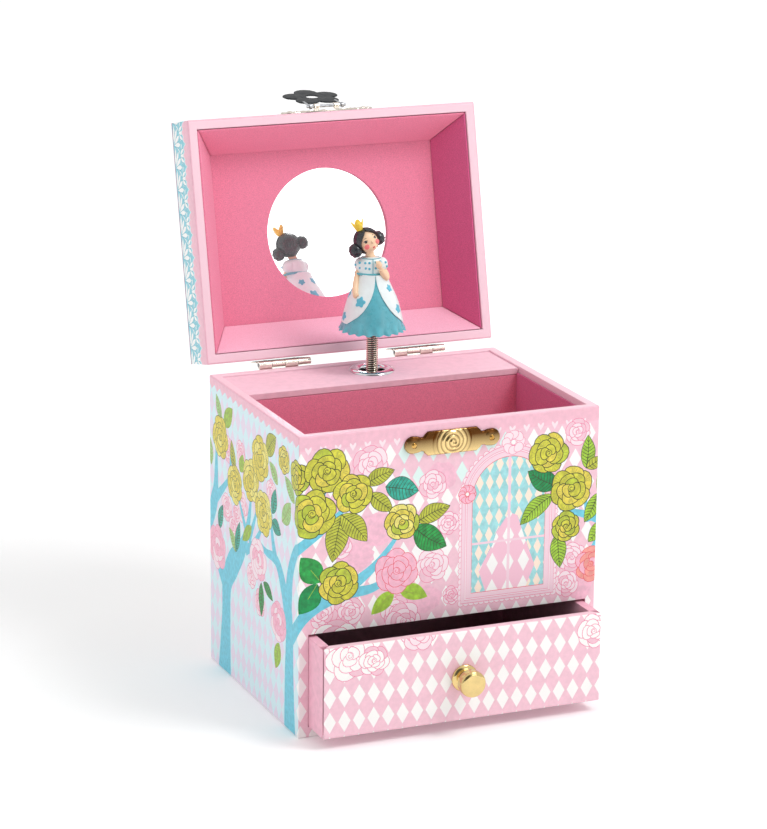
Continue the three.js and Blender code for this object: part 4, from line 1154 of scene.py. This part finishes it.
def nail(depth):
    """A domed nail whose head lies on a face at that depth over the foot of its shank."""
    head = ((1.4, 0), (1.38, 0.2), (1.15, 0.45), (0.7, 0.65), (0.3, 0.73), (0.01, 0.75))
    return lathe([(0.01, -0.2), (0.7, -0.2), (0.7, depth), *((r, depth + up) for r, up in head)], 24)


def paint_latch_shade(material, middle):
    """Painted shade in brown in the latch's spiral grooves, and a brown painted reflection darkening the
    upper part of its plate.
    """
    tree = material.node_tree

    def step(operation, *values):
        node = tree.nodes.new("ShaderNodeMath")
        node.operation = operation
        for socket, value in zip(node.inputs, values):
            if isinstance(value, (int, float)):
                socket.default_value = value
            else:
                tree.links.new(value, socket)
        return node.outputs[0]

    split = tree.nodes.new("ShaderNodeSeparateXYZ")
    tree.links.new(tree.nodes.new("ShaderNodeTexCoord").outputs["Object"], split.inputs[0])
    x = step("DIVIDE", split.outputs["X"], MM)
    z = step("SUBTRACT", step("DIVIDE", split.outputs["Z"], MM), middle)
    reach = step("SQRT", step("ADD", step("MULTIPLY", x, x), step("MULTIPLY", z, z)))
    angle = step("SUBTRACT", step("MULTIPLY", reach, TURN / ROSETTE_PITCH), step("ARCTAN2", z, x))
    hollow = step("MAXIMUM", step("MULTIPLY", step("COSINE", angle), -1), 0)
    groove = step("MULTIPLY", hollow, remap(tree, reach, ROSETTE, ROSETTE + 5, 0.6, 0))
    shade = step("MULTIPLY", remap(tree, z, -5.2, 2.6, 0.12, 0.98),
                 remap(tree, reach, ROSETTE, ROSETTE + 3, 0.12, 1))
    blend = tree.nodes.new("ShaderNodeMix")
    blend.data_type = "RGBA"
    tree.links.new(step("MINIMUM", step("ADD", groove, shade), 1), blend.inputs["Factor"])
    blend.inputs["A"].default_value = rgb(246, 216, 152)
    blend.inputs["B"].default_value = rgb(84, 46, 14)
    tree.links.new(blend.outputs["Result"], tree.nodes["Principled BSDF"].inputs["Base Color"])


def build_latch():
    """The plate on the case that the flower shuts over, and its two nails."""
    low, high = box("latch_plate")
    middle = (low.z + high.z) / 2
    # The latch's gold gets painted shade in its grooves and a painted reflection over its upper part.
    paint_latch_shade(latch_gold, middle)
    at = shift(0, -HALF_DEPTH - 0.12, middle) @ turn(90, "X")
    holes = [circle(side * NAIL_AT, 0, 0.9, 14) for side in (-1, 1)]
    plate = stamped(latch_outline(), holes, 0.7, latch_relief, 0.36)
    Solid(plate).make("latch_plate_stamped", latch_gold, "case", "brass", ["latch_plate"], 60, at)
    for side, name in ((-1, "left"), (1, "right")):
        Solid(nail(1.15)).make(f"latch_nail_{name}_domed", gold, "case", "brass",
                               [f"latch_nail_{name}"], 40, at @ shift(side * NAIL_AT, 0, 0))


def build_clasp():
    """The plate on the lid, and the flower that hangs from its pin by two arms."""
    solid = Solid(stamped(latch_outline(), [], 0.75, lambda x, y: 0.2 + 0.15 * math.cos(TURN * x / 3.4), 0.5))
    lug_wide, lug_round, lug_bore, lug_up = 2.4, 1.3, 0.85, CLASP_OUT - 0.15 - 0.8
    for side in (-1, 1):
        at = shift(side * 5.2 - lug_wide / 2, 0, 0.8)
        solid.add(eye(lug_bore, lug_round, lug_wide, lug_up), at)
        foot = oblong(-lug_round * 0.8, lug_round * 0.8, -0.05, lug_up - lug_bore)
        solid.add(across(foot, 0.1, lug_wide - 0.1), at)
        solid.add(nail(0.75), shift(side * NAIL_AT, 0, 0))
    solid.make("clasp_plate_stamped", nickel, "lid", "nickel", ["clasp_plate"], 45,
               lid_pose @ shift(0, -HALF_DEPTH - 0.15, clasp_pin.z) @ turn(90, "X"))
    petals, big = 5, 14.6
    small = big * 0.4
    ring = big - small
    share = TURN / petals / 2
    meet = ring * math.cos(share) + math.sqrt(small ** 2 - (ring * math.sin(share)) ** 2)
    sweep = math.atan2(meet * math.sin(share), meet * math.cos(share) - ring)
    outline = []
    for angle in (-QUARTER + TURN * k / petals for k in range(petals)):
        for a in (angle - sweep + 2 * sweep * j / 20 for j in range(1, 21)):
            outline.append((ring * math.cos(angle) + small * math.cos(a),
                            ring * math.sin(angle) + small * math.sin(a)))

    def relief(x, y):
        r, a = math.hypot(x, y), math.atan2(y, x) + QUARTER
        k = round(a / (TURN / petals)) * (TURN / petals) - QUARTER
        away = math.hypot(x - ring * math.cos(k), y - ring * math.sin(k)) / small
        return 0.16 * max(0, 1 - away ** 2) - 0.12 * max(0, 1 - abs(r - 6.2) / 0.9)

    pin = clasp_pose @ shift(*clasp_pin)
    flower = stamped(outline, [circle(0, 0, 3, 32)], 0.7, relief, 0.5, 0.2, True)
    Solid(flower).make("clasp_flower_stamped", enamel, "clasp", "black_enamel", ["clasp_flower"], 45,
                       pin @ shift(0, 0.25, -18.8) @ turn(90, "X"))
    wide, half = 1.1, 0.26
    for side, name in ((-1, "left"), (1, "right")):
        arm = Solid(eye(0.8, 1.3, wide, 0, 20))
        arm.add(across(ribbon([(0, -1.1), (0.1, -4), (0.1, -9.5)], [half] * 3), 0, wide))
        arm.make(f"clasp_arm_{name}", steel, "clasp", "nickel", (), 40,
                 pin @ shift(side * 8.3 - wide / 2, 0, 0))


def across(outline, low, high):
    """A prism along X over an outline in Y and Z."""
    return skin([[(x, y, z) for y, z in outline] for x in (low, high)])


def eye(inner, outer, width, up=0.0, count=24):
    """A closed ring round a line along X that stands up above the origin."""
    return skin([[(x, y, z) for y, z in circle(0, up, r, count)]
                 for x, r in ((0, inner), (0, outer), (width, outer), (width, inner))], True)


def build_hinges():
    """Butt hinges: each leaf is a plate rolled into two of the four knuckles round the pin."""
    axis = pivot("lid_hinge")
    radius, half, length, cut, gap = 1.32, 0.38, 27, 1.2, 0.24
    foot, top, pitch = 2.1, 11.1, length / 4
    curl = [(-radius, foot + 0.6), (-radius, 0.6), *circle(0, 0, -radius, 28)[:24]]
    rolled = ribbon(curl, [half] * len(curl))
    down = Matrix.Scale(-1, 4, (0, 0, 1))
    for side, x in (("left", -35.5), ("right", 35.5)):
        start, end = x - length / 2, x + length / 2
        plate = [(start, foot), (end, foot), (end, top - cut), (end - cut, top), (start + cut, top),
                 (start, top - cut)]
        for body, place, knuckles in (("case", down, (0, 2)), ("lid", None, (1, 3))):
            solid = Solid()
            solid.add(stamped(plate, [], 2 * half, lambda u, v: 0.0, 1.2, 0.2),
                      shift(0, half - radius, 0) @ turn(90, "X"))
            for number in knuckles:
                low = start + number * pitch + gap / 2
                solid.add(across(rolled, low, low + pitch - gap))
            for share in (0.22, 0.78):
                spot = shift(start + length * share, -radius - 0.3, foot + 4.5)
                solid.add(nail(0.35), spot @ turn(-90, "X"))
            at = shift(0, axis.y, axis.z)
            solid.make(f"hinge_{body}_leaf_{side}_rolled", nickel, body, "nickel",
                       [f"hinge_{body}_leaf_{side}"], 40, at @ place if place else lid_pose @ at)


def build_key():
    """The winding key: a turned stem with two pierced wings."""
    low, high = box("winding_key")
    stem = [(1.45, 4.6), (1.45, 0), (2.6, 0), (2.6, 1.2), (2.2, 1.6), (2.2, 5.4), (2.5, 6.0), (2.3, 7.6),
            (1.2, 8.4), (0.01, 8.5)]
    solid = Solid().add(lathe(rounded(stem, 0.25, 3), 48), turn(-90, "X"))
    out, up = 6.2, 9.2

    def rim(u, v):
        return 0.25 * math.exp(-(math.hypot(abs(u) - out, v - up) - 3.2) ** 2)

    for side in (-1, 1):
        outline = [(side * u, v) for u, v in circle(5.6, up, 5.3, 40)]
        wing = stamped(outline, [circle(side * out, up, 2.2, 24)], 1.4, rim, 0.45, 0.3, True)
        solid.add(wing, shift(0, 0, -0.7))
    solid.make("winding_key_pressed", nickel, "mainspring", "nickel", ["winding_key"], 45,
               shift(SPINDLE.x, low.y, (low.z + high.z) / 2))


def build_spring():
    """The closely wound spring that carries the doll: a helix of round wire round a dark core, painted shade
    that shows between the coils.
    """
    low, high = (corner.z for corner in box("spring_neck"))
    wire, pitch, segments, core = 0.33, 1.05, 28, 2.1
    radius = 2.95 - wire
    count = round((high - low - 2 * wire) / pitch * segments)
    path = [(radius * math.cos(TURN * k / segments), radius * math.sin(TURN * k / segments),
             low + wire + pitch * k / segments) for k in range(count + 1)]
    wound = tube(path, [wire] * len(path), 10)
    # The core is painted shade seen between the coils.
    filled = lathe([(0.01, low + 0.3), (core, low + 0.3), (core, high - 3), (0.01, high - 3)], 24)
    for name, shell, finish, replaced, smooth in (("spring_neck_wound", wound, coil, ["spring_neck"], 60),
                                                  ("spring_core", filled, core_painted_shade, (), 40)):
        made = Solid(shell).make(name, finish, None, "nickel", replaced, smooth, shift(*SPINDLE, 0))
        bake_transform(made)


# ---- doll -----------------------------------------------------------------------------------
turquoise = look("doll_turquoise", shades((98, 186, 200), 0.04), 0.3, 3, 0.008, 0.8, 0.05, Coat_Weight=0.25)
dot_paint = look("doll_dots", shades((96, 192, 216), 0.04), 0.34, 3, 0.006, 0.8, 0.05)
cream_paint = look("doll_white", shades((240, 250, 250), 0.012), 0.34, 3, 0.008, 0.8, 0.05, Coat_Weight=0.2)
skin_paint = look("doll_skin", shades((250, 212, 176), 0.02), 0.38, 3, 0.004, 0.8, 0.05)
hair_paint = look("doll_hair", shades((38, 42, 48), 0.16), 0.26, 1.2, 0.012, 0.8, 0.06, Coat_Weight=0.3)
crown_paint = look("doll_crown", shades((252, 216, 70), 0.04), 0.3, 2, 0.006, 0.6, 0.05)
red_paint = look("doll_lips", shades((214, 92, 92), 0.04), 0.4, 1, 0.002, 0.4)
blush_paint = look("doll_cheeks", shades((243, 128, 128), 0.05), 0.45, 1, 0.002, 0.4)
eye_paint = look("doll_eyes", shades((34, 36, 44), 0.1), 0.25, 1, 0.002, 0.4)
lid_paint = look("doll_eyelids", shades((196, 190, 190), 0.05), 0.4, 1, 0.002, 0.4)

HEM, HEM_R, WAIST = 163, 16, 190.6
SKIRT = [(HEM, HEM_R), (164.6, 15.4), (168, 14.2), (173, 13.0), (177.3, 11.8), (181.1, 10.2), (184.5, 8.6),
         (187, 7.4), (WAIST, 6.3)]
FLOUNCES = 20
BODY_TURN, VIEW_TURN = -11, -23.4
HEAD = Vector((-3.2, 0, 206.6))
HEAD_R = 5.35
FACE = [((0, 0, 0), (HEAD_R, HEAD_R, HEAD_R + 0.2)), ((0, -1.2, -2.3), (4.2, 3.9, 3.5)),
        ((-2.5, -2.9, -2.0), (2.1, 2.0, 1.9)), ((2.5, -2.9, -2.0), (2.1, 2.0, 1.9))]


def skirt_point(angle, z, lift=0.0):
    """A point on the skirt, whose flounces fade upward from the hem; angle 0 faces the front."""
    zs, rs = zip(*SKIRT)
    wave = max(0.0, 1 - (z - HEM) / 4.5) ** 1.5
    r = float(np.interp(z, zs, rs)) + lift + 0.65 * wave * math.cos(FLOUNCES * angle)
    return (r * math.sin(angle), -r * math.cos(angle), z)


def melt(made, voxel, rounds):
    """Runs a piece's shells together into one smooth skin."""
    merge = made.modifiers.new("merged", "REMESH")
    merge.mode, merge.voxel_size, merge.use_smooth_shade = "VOXEL", voxel * MM, True
    soften = made.modifiers.new("softened", "SMOOTH")
    soften.factor, soften.iterations = 0.5, rounds


def painted(solid, name, finish, at):
    """One of the doll's pieces."""
    return solid.make(name, finish, "doll", "doll_paint", (), 60, at)


def build_skirts(at):
    """The turquoise underskirt, hollow over the spring, and a white overskirt that parts at the front."""
    turns = angles(10 * FLOUNCES)

    def ring(z, lift=0.0, scale=1.0):
        return [(x * scale, y * scale, z) for x, y, z in (skirt_point(a, z, lift) for a in turns)]

    def hung(points):
        return [(x, y, z - 0.3 * math.cos(FLOUNCES * a)) for a, (x, y, z) in zip(turns, points)]

    hollow = 3.2 / HEM_R
    outer = [hung(ring(HEM + 0.4))]
    for rise in (0, 0.7, 1.5, 2.5, 4, 6, 9, 12, 15, 17.5, 20, 22, 24, 26):
        outer.append(ring(HEM + 0.8 + rise))
    inner = [ring(167.7, 0, 0.01), ring(167.7, 0, hollow), ring(HEM + 1.9, 0, hollow),
             hung(ring(HEM + 1.5, -0.9, 0.75)), hung(ring(HEM + 0.55, -0.7))]
    skirt = skin(inner + outer + [ring(WAIST), ring(WAIST, 0, 0.01)])
    Solid(skirt).make("doll_underskirt", turquoise, "doll", "doll_paint", ["doll"], 60, at)
    opening = [(167.6, 1.18), (169.5, 0.98), (172, 0.72), (174.5, 0.55), (177, 0.42), (181, 0.25),
               (185.7, 0.1), (189.4, 0.03), (WAIST + 0.4, 0.02)]
    zs, gaps = zip(*opening)
    lift, thick = 0.6, 0.55
    over = []
    for t in np.linspace(0, 1, 30):
        z = zs[-1] + (zs[0] - zs[-1]) * t
        gap = float(np.interp(z, zs, gaps))
        span = np.linspace(gap, TURN - gap, 120)
        over.append([skirt_point(a, z, lift) for a in span]
                    + [skirt_point(a, z, lift - thick) for a in reversed(span)])
    painted(Solid(skin(over)), "doll_overskirt", cream_paint, at)
    stars = Solid()
    for angle, z, size in ((-0.72, 178.8, 2.7), (-1.47, 170.6, 2.4), (0.84, 184.6, 1.9), (1.0, 174.6, 2.4),
                           (1.75, 179, 2.4), (2.35, 171.4, 2.5), (3.1, 178, 2.7), (2.7, 186, 1.9),
                           (-2.2, 171.8, 2.5), (-1.75, 181, 2.4), (-2.75, 185.4, 1.8)):
        stars.add(star(angle, z, size, lift))
    painted(stars, "doll_star_flowers", dot_paint, at)


def star(angle, z, size, lift):
    """A thin five-petal flower painted thickly on the overskirt."""
    outline = []
    for t in angles(50):
        r = size * (0.82 + 0.14 * math.cos(5 * t + angle) + 0.05 * math.cos(3 * t - angle))
        outline.append((r * math.sin(t), r * math.cos(t)))
    radius = math.hypot(*skirt_point(angle, z)[:2])
    return skin([[skirt_point(angle + x * scale / radius, z + y * scale, lift + rise) for x, y in outline]
                 for rise, scale in ((-0.25, 1.0), (0.08, 1.0), (0.18, 0.9), (0.2, 0.55), (0.2, 0.2))])


def build_bodice(view):
    """A broad yoke run into two puffed sleeves, trimmed with bands and dots."""
    middle, flat = -0.95, 0.78
    left, right = ((-5.6, 0.2, 194.8), (3.35, 3.3, 3.7)), ((4.35, 0.2, 195.1), (2.9, 3.2, 3.6))
    yoke = lathe([(0.02, 188.6), (5.6, 188.8), (6.4, 190.3), (6.5, 192.6), (6.3, 195), (5.9, 197),
                  (4.7, 198.4), (3.0, 199.0), (0.02, 199.2)], 48)
    bodice = Solid().add(yoke, shift(middle, 0, 0) @ Matrix.Diagonal((1, flat, 1, 1)))
    for centre, radii in (left, right):
        bodice.add(ball(centre, radii, 28, 18))
    melt(painted(bodice, "doll_bodice", cream_paint, view), 0.24, 4)
    trim = Solid()
    for z, wide, deep, thick in ((191.0, 7.3, 5.2, 0.6), (198.5, 4.7, 3.7, 0.18)):
        trim.add(skin([[(middle + (wide + thick * math.cos(b)) * math.sin(a),
                         -(deep + thick * math.cos(b)) * math.cos(a), z + thick * math.sin(b))
                        for b in angles(8)] for a in angles(72)], True))
    placket = [(0.2, -5.0, 190.6), (0.2, -5.28, 192.6), (0.2, -5.15, 195), (0.2, -4.75, 197),
               (0.2, -3.9, 198.4)]
    trim.add(tube(placket, [0.17] * len(placket), 10))
    painted(trim, "doll_trim", turquoise, view)
    dots = Solid()
    for x, z in ((-6.2, 196.4), (-6.0, 193.9), (-3.5, 196.6), (-3.2, 194.1), (-1.5, 196.7), (-1.5, 193.9),
                 (1.4, 197), (1.5, 194.2), (-8.2, 195.2), (3.6, 197.2), (6.1, 196.6), (6.7, 194.6)):
        centre, radii = left if x < -3 else right
        side = (x - centre[0]) / radii[0]
        puff = math.sqrt(max(0, 1 - side * side - ((z - 195) / 3.7) ** 2))
        sleeve = 3.3 * puff - 0.2 if abs(side) < 1 else 0
        chest = flat * math.sqrt(max(0, 39 - (x - middle) ** 2)) - max(0, z - 196) * 0.45
        dots.add(ball((x, -max(sleeve, chest) - 0.06, z), (0.62, 0.34, 0.62), 14, 10))
    painted(dots, "doll_dots", dot_paint, view)


def limb(knots, steps, shares, radii):
    """A tube along a curve, whose radius runs through radii at those shares of its length."""
    path = spline(knots, steps)
    return tube(path, np.interp(np.linspace(0, 1, len(path)), shares, radii), 20)


def build_arms(view):
    """One arm hangs at her side; the other bends so that the hand rests on her chest."""
    arms = Solid()
    arms.add(limb([(-6.7, -0.6, 192.6), (-7.4, -2.4, 189.6), (-8.0, -4.5, 186.4), (-8.2, -6.4, 184),
                   (-8.2, -7.7, 182.2)], 5, [0, 0.5, 0.8, 1], [1.35, 1.5, 1.45, 1.15]))
    arms.add(ball((-8.15, -8.0, 181.9), (1.25, 0.95, 1.8), 20, 14))
    arms.add(tube([(-7.4, -8.2, 182.7), (-6.8, -8.4, 181.9), (-6.6, -8.5, 181.3)], [0.5, 0.45, 0.35], 10))
    arms.add(limb([(5.4, -0.8, 192.6), (6.5, -2.2, 190.6), (6.5, -3.4, 189.4), (5.3, -4.7, 191.2),
                   (4.0, -5.5, 194)], 6, [0, 0.5, 0.85, 1], [1.35, 1.6, 1.5, 1.2]))
    arms.add(ball((3.1, -5.8, 195.7), (1.5, 0.85, 1.6), 20, 14))
    for x in (1.9, 2.5, 3.1, 3.7):
        finger = [(x + 0.6, -5.9, 196), (x, -5.6, 197.1), (x - 0.35, -5.2, 197.9)]
        arms.add(tube(finger, [0.42, 0.4, 0.3], 10))
    melt(painted(arms, "doll_arms", skin_paint, view), 0.18, 3)


def hair_point(around, up, lift):
    """A point on the hair: an angle from the face's middle, an angle up and a height over the scalp."""
    swell = 0.45 * math.exp(-((abs(around) - 0.75) / 0.4) ** 2) * math.cos(up)
    strands = 0.07 * math.cos(34 * around + 9 * up) * math.cos(up)
    r = HEAD_R + lift + (swell + strands if lift > 0.3 else 0)
    level = r * math.cos(up)
    return (level * math.sin(around), -level * math.cos(around), (r + 0.35) * math.sin(up))


def build_head(view):
    """A tilted head with painted features, parted hair, two side buns and a little crown."""
    pose = view @ Matrix.Translation(HEAD) @ turn(-24, "Y") @ turn(32, "Z")
    neck = tube([(-0.9, 0, 197.6), (-1.3, 0, 199.6), (-2.3, -0.2, 202.8)], [2.8, 2.1, 2.5], 28)
    painted(Solid(neck), "doll_neck", skin_paint, view)
    head = Solid()
    for centre, radii in FACE:
        head.add(ball(centre, radii, 40, 28))
    head.add(ball((0, -5.5, -1.0), (0.5, 0.6, 0.6), 14, 10))
    melt(painted(head, "doll_head", skin_paint, pose), 0.17, 5)
    hair = Solid()
    opening = [(-52, 70), (-25, 66), (0, 58), (22, 42), (42, 20), (56, 3), (84, 3)]
    ups, gaps = zip(*opening)
    shells = []
    for up in np.linspace(ups[0], ups[-1], 30):
        gap = math.radians(float(np.interp(up, ups, gaps)))
        span = np.linspace(gap, TURN - gap, 140)
        shells.append([hair_point(a, math.radians(up), 0.85) for a in span]
                      + [hair_point(a, math.radians(up), -0.2) for a in reversed(span)])
    hair.add(skin(shells))
    hair.add(ball((0, 1.2, -3.9), (3.4, 3.4, 2.6), 28, 18))
    painted(hair, "doll_hair", hair_paint, pose)
    buns = Solid()
    for side in (-1, 1):
        buns.add(ball((side * 6.8, 1.0, -1.9), (3.1, 3.5, 3.5), 36, 24))
        for k in range(4):
            lean = 0.62 * (k - 1.5)
            path = [(side * (6.8 + 2.95 * math.cos(t) * math.cos(lean)), 1.0 + 3.35 * math.sin(t),
                     -1.9 + 3.3 * math.cos(t) * math.sin(lean)) for t in np.linspace(-1.3, 1.3, 18)]
            buns.add(tube(path, [0.15 + 0.3 * math.sin(TURN / 2 * j / 17) for j in range(18)], 10))
    painted(buns, "doll_hair_buns", hair_paint, pose)
    build_crown(pose)
    features(pose)


def build_crown(pose):
    """A thick crown with four rounded points."""
    points = 4
    rings = []
    for base, share in ((1.5, 0), (1.75, 0.3), (1.9, 0.65), (1.9, 0.94), (1.65, 1.02), (1.35, 0.97),
                        (1.2, 0.5), (1.1, 0)):
        ring = []
        for a in angles(64):
            rise = share * (3.0 + 2.1 * abs(math.cos(points * a / 2)) ** 1.2)
            ring.append(((base + 0.25 * rise) * math.sin(a), (base + 0.25 * rise) * math.cos(a), rise))
        rings.append(ring)
    painted(Solid(skin(rings, True)), "doll_crown", crown_paint,
            pose @ shift(-1.3, -0.6, HEAD_R + 0.7) @ turn(8, "Y") @ turn(-32, "Z"))


def on_face(across, up, lift=0.0):
    """A point on the face, from angles in degrees off its middle."""
    a, b = math.radians(across), math.radians(up)
    ray = np.array((math.sin(a) * math.cos(b), -math.cos(a) * math.cos(b), math.sin(b)))
    reach = 0.0
    for centre, radii in FACE:
        d, c = ray / radii, np.array(centre) / radii
        inside = (d @ c) ** 2 - (d @ d) * (c @ c - 1)
        if inside > 0:
            reach = max(reach, (d @ c + math.sqrt(inside)) / (d @ d))
    return Vector(ray * (reach + lift))


def patch(across, up, wide, tall, rise):
    """A thin painted oval lying on the face."""
    return skin([[on_face(across + wide * scale * math.cos(t), up + tall * scale * math.sin(t), height)
                  for t in angles(28)]
                 for height, scale in ((-0.3, 1.0), (rise * 0.4, 1.0), (rise * 0.8, 0.75), (rise, 0.3))])


def features(pose):
    """Painted eyes, brows, cheeks and lips."""
    eyes, lids, cheeks, lips = Solid(), Solid(), Solid(), Solid()
    for side in (-1, 1):
        lids.add(patch(side * 31, 7, 10, 6, 0.05))
        eyes.add(patch(side * 31, 3.0, 6.6, 5.2, 0.1))
        for out, up, bow, lift, span, radii in (
            (31, 5.5, 4.4, 0.04, range(-12, 14, 3), [0.06, 0.13, 0.18, 0.2, 0.2, 0.2, 0.18, 0.13, 0.06]),
            (28, 19, 3.4, -0.01, range(-9, 12, 3), [0.04, 0.07, 0.09, 0.1, 0.09, 0.07, 0.04]),
        ):
            line = [on_face(side * (out + w), up + bow * math.cos(w / 9), lift) for w in span]
            eyes.add(tube(line, radii, 8))
        cheeks.add(patch(side * 35, -19, 14, 11, 0.1))
        lips.add(patch(side * 3, -35, 5, 2.8, 0.16))
    lips.add(patch(0, -38.5, 6, 3, 0.15))
    for name, finish, solid in (("eyes", eye_paint, eyes), ("eyelids", lid_paint, lids),
                                ("cheeks", blush_paint, cheeks), ("lips", red_paint, lips)):
        painted(solid, f"doll_{name}", finish, pose)


def build_doll():
    """The doll; her skirts face the box's front, and the rest of her turns a little more to the left."""
    body = shift(*SPINDLE, 0) @ turn(BODY_TURN, "Z")
    view = shift(*SPINDLE, 0) @ turn(VIEW_TURN, "Z")
    build_skirts(body)
    build_bodice(view)
    build_arms(view)
    build_head(view)


# ---- studio ---------------------------------------------------------------------------------
def build_world():
    """A white room with one darker corner, which gives the metals something to reflect."""
    world = bpy.data.worlds.new("studio")
    scene.world = world
    world.use_nodes = True
    tree = world.node_tree
    facing = tree.nodes.new("ShaderNodeVectorMath")
    facing.operation = "DOT_PRODUCT"
    facing.inputs[1].default_value = Vector((-0.35, -1, 0.28)).normalized()
    tree.links.new(tree.nodes.new("ShaderNodeTexCoord").outputs["Generated"], facing.inputs[0])
    light = remap(tree, facing.outputs["Value"], 0.8, 0.93, 0.86, 0.12, "SMOOTHSTEP")
    tree.links.new(light, tree.nodes["Background"].inputs["Strength"])
    tree.nodes["Background"].inputs["Color"].default_value = (1, 1, 1, 1)


def brighten(material, near, far):
    """Lifts the floor to white away from the box, and leaves its shadow near it."""
    tree = material.node_tree
    reach = tree.nodes.new("ShaderNodeVectorMath")
    reach.operation = "LENGTH"
    tree.links.new(tree.nodes.new("ShaderNodeTexCoord").outputs["Object"], reach.inputs[0])
    glow = remap(tree, reach.outputs["Value"], 0.2, 0.8, near, far)
    tree.links.new(glow, tree.nodes["Principled BSDF"].inputs["Emission Strength"])


def build_studio():
    """The floor, the lamps and a camera that stands where the photograph was taken."""
    floor_look = look("studio_floor", [(252, 252, 252)], 0.7, 60, 0, 1, 0.05, Emission_Color=(1, 1, 1, 1))
    brighten(floor_look, 0.11, 0.22)
    far, top, foot = 3200, -0.2, -8
    disc = lathe([(1, top), (far, top), (far, foot), (1, foot)], 48)
    floor = piece("studio_floor", *disc, [floor_look], None, "pink_board", (), None, 30)
    del floor["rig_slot"]
    build_world()
    for name, place, size, power in (("key", (700, -650, 1400), 550, 9.4),
                                     ("fill", (-1000, -800, 500), 700, 0.3),
                                     ("mirror_card", (940, -2200, 560), 600, 1.45)):
        lamp = bpy.data.lights.new(name, "AREA")
        lamp.size, lamp.energy = size * MM, power
        holder = bpy.data.objects.new(name, lamp)
        holder.location = Vector(place) * MM
        holder.rotation_euler = (Vector((0, 0, 150)) - Vector(place)).to_track_quat("-Z", "Y").to_euler()
        scene.collection.objects.link(holder)
    lens = bpy.data.cameras.new("photo_view")
    lens.lens, lens.clip_end = 139.76, 100
    camera = bpy.data.objects.new("photo_view", lens)
    ahead = Vector((0.37761146, 0.88594677, -0.26927291))
    above = Vector((0.09636006, 0.25162612, 0.96301559))
    turned = Matrix((ahead.cross(above), above, -ahead)).transposed().to_4x4()
    camera.matrix_world = Matrix.Translation((-0.58129, -1.34244, 0.54036)) @ turned
    scene.collection.objects.link(camera)
    scene.camera = camera
    scene.view_settings.view_transform = "Standard"


for build in (build_case, build_lid_walls, build_lid_top, build_nodes, build_mirror, build_drawer_wrap,
              build_knob, build_grommet, build_latch, build_clasp, build_hinges, build_key, build_spring,
              build_doll, build_studio):
    build()
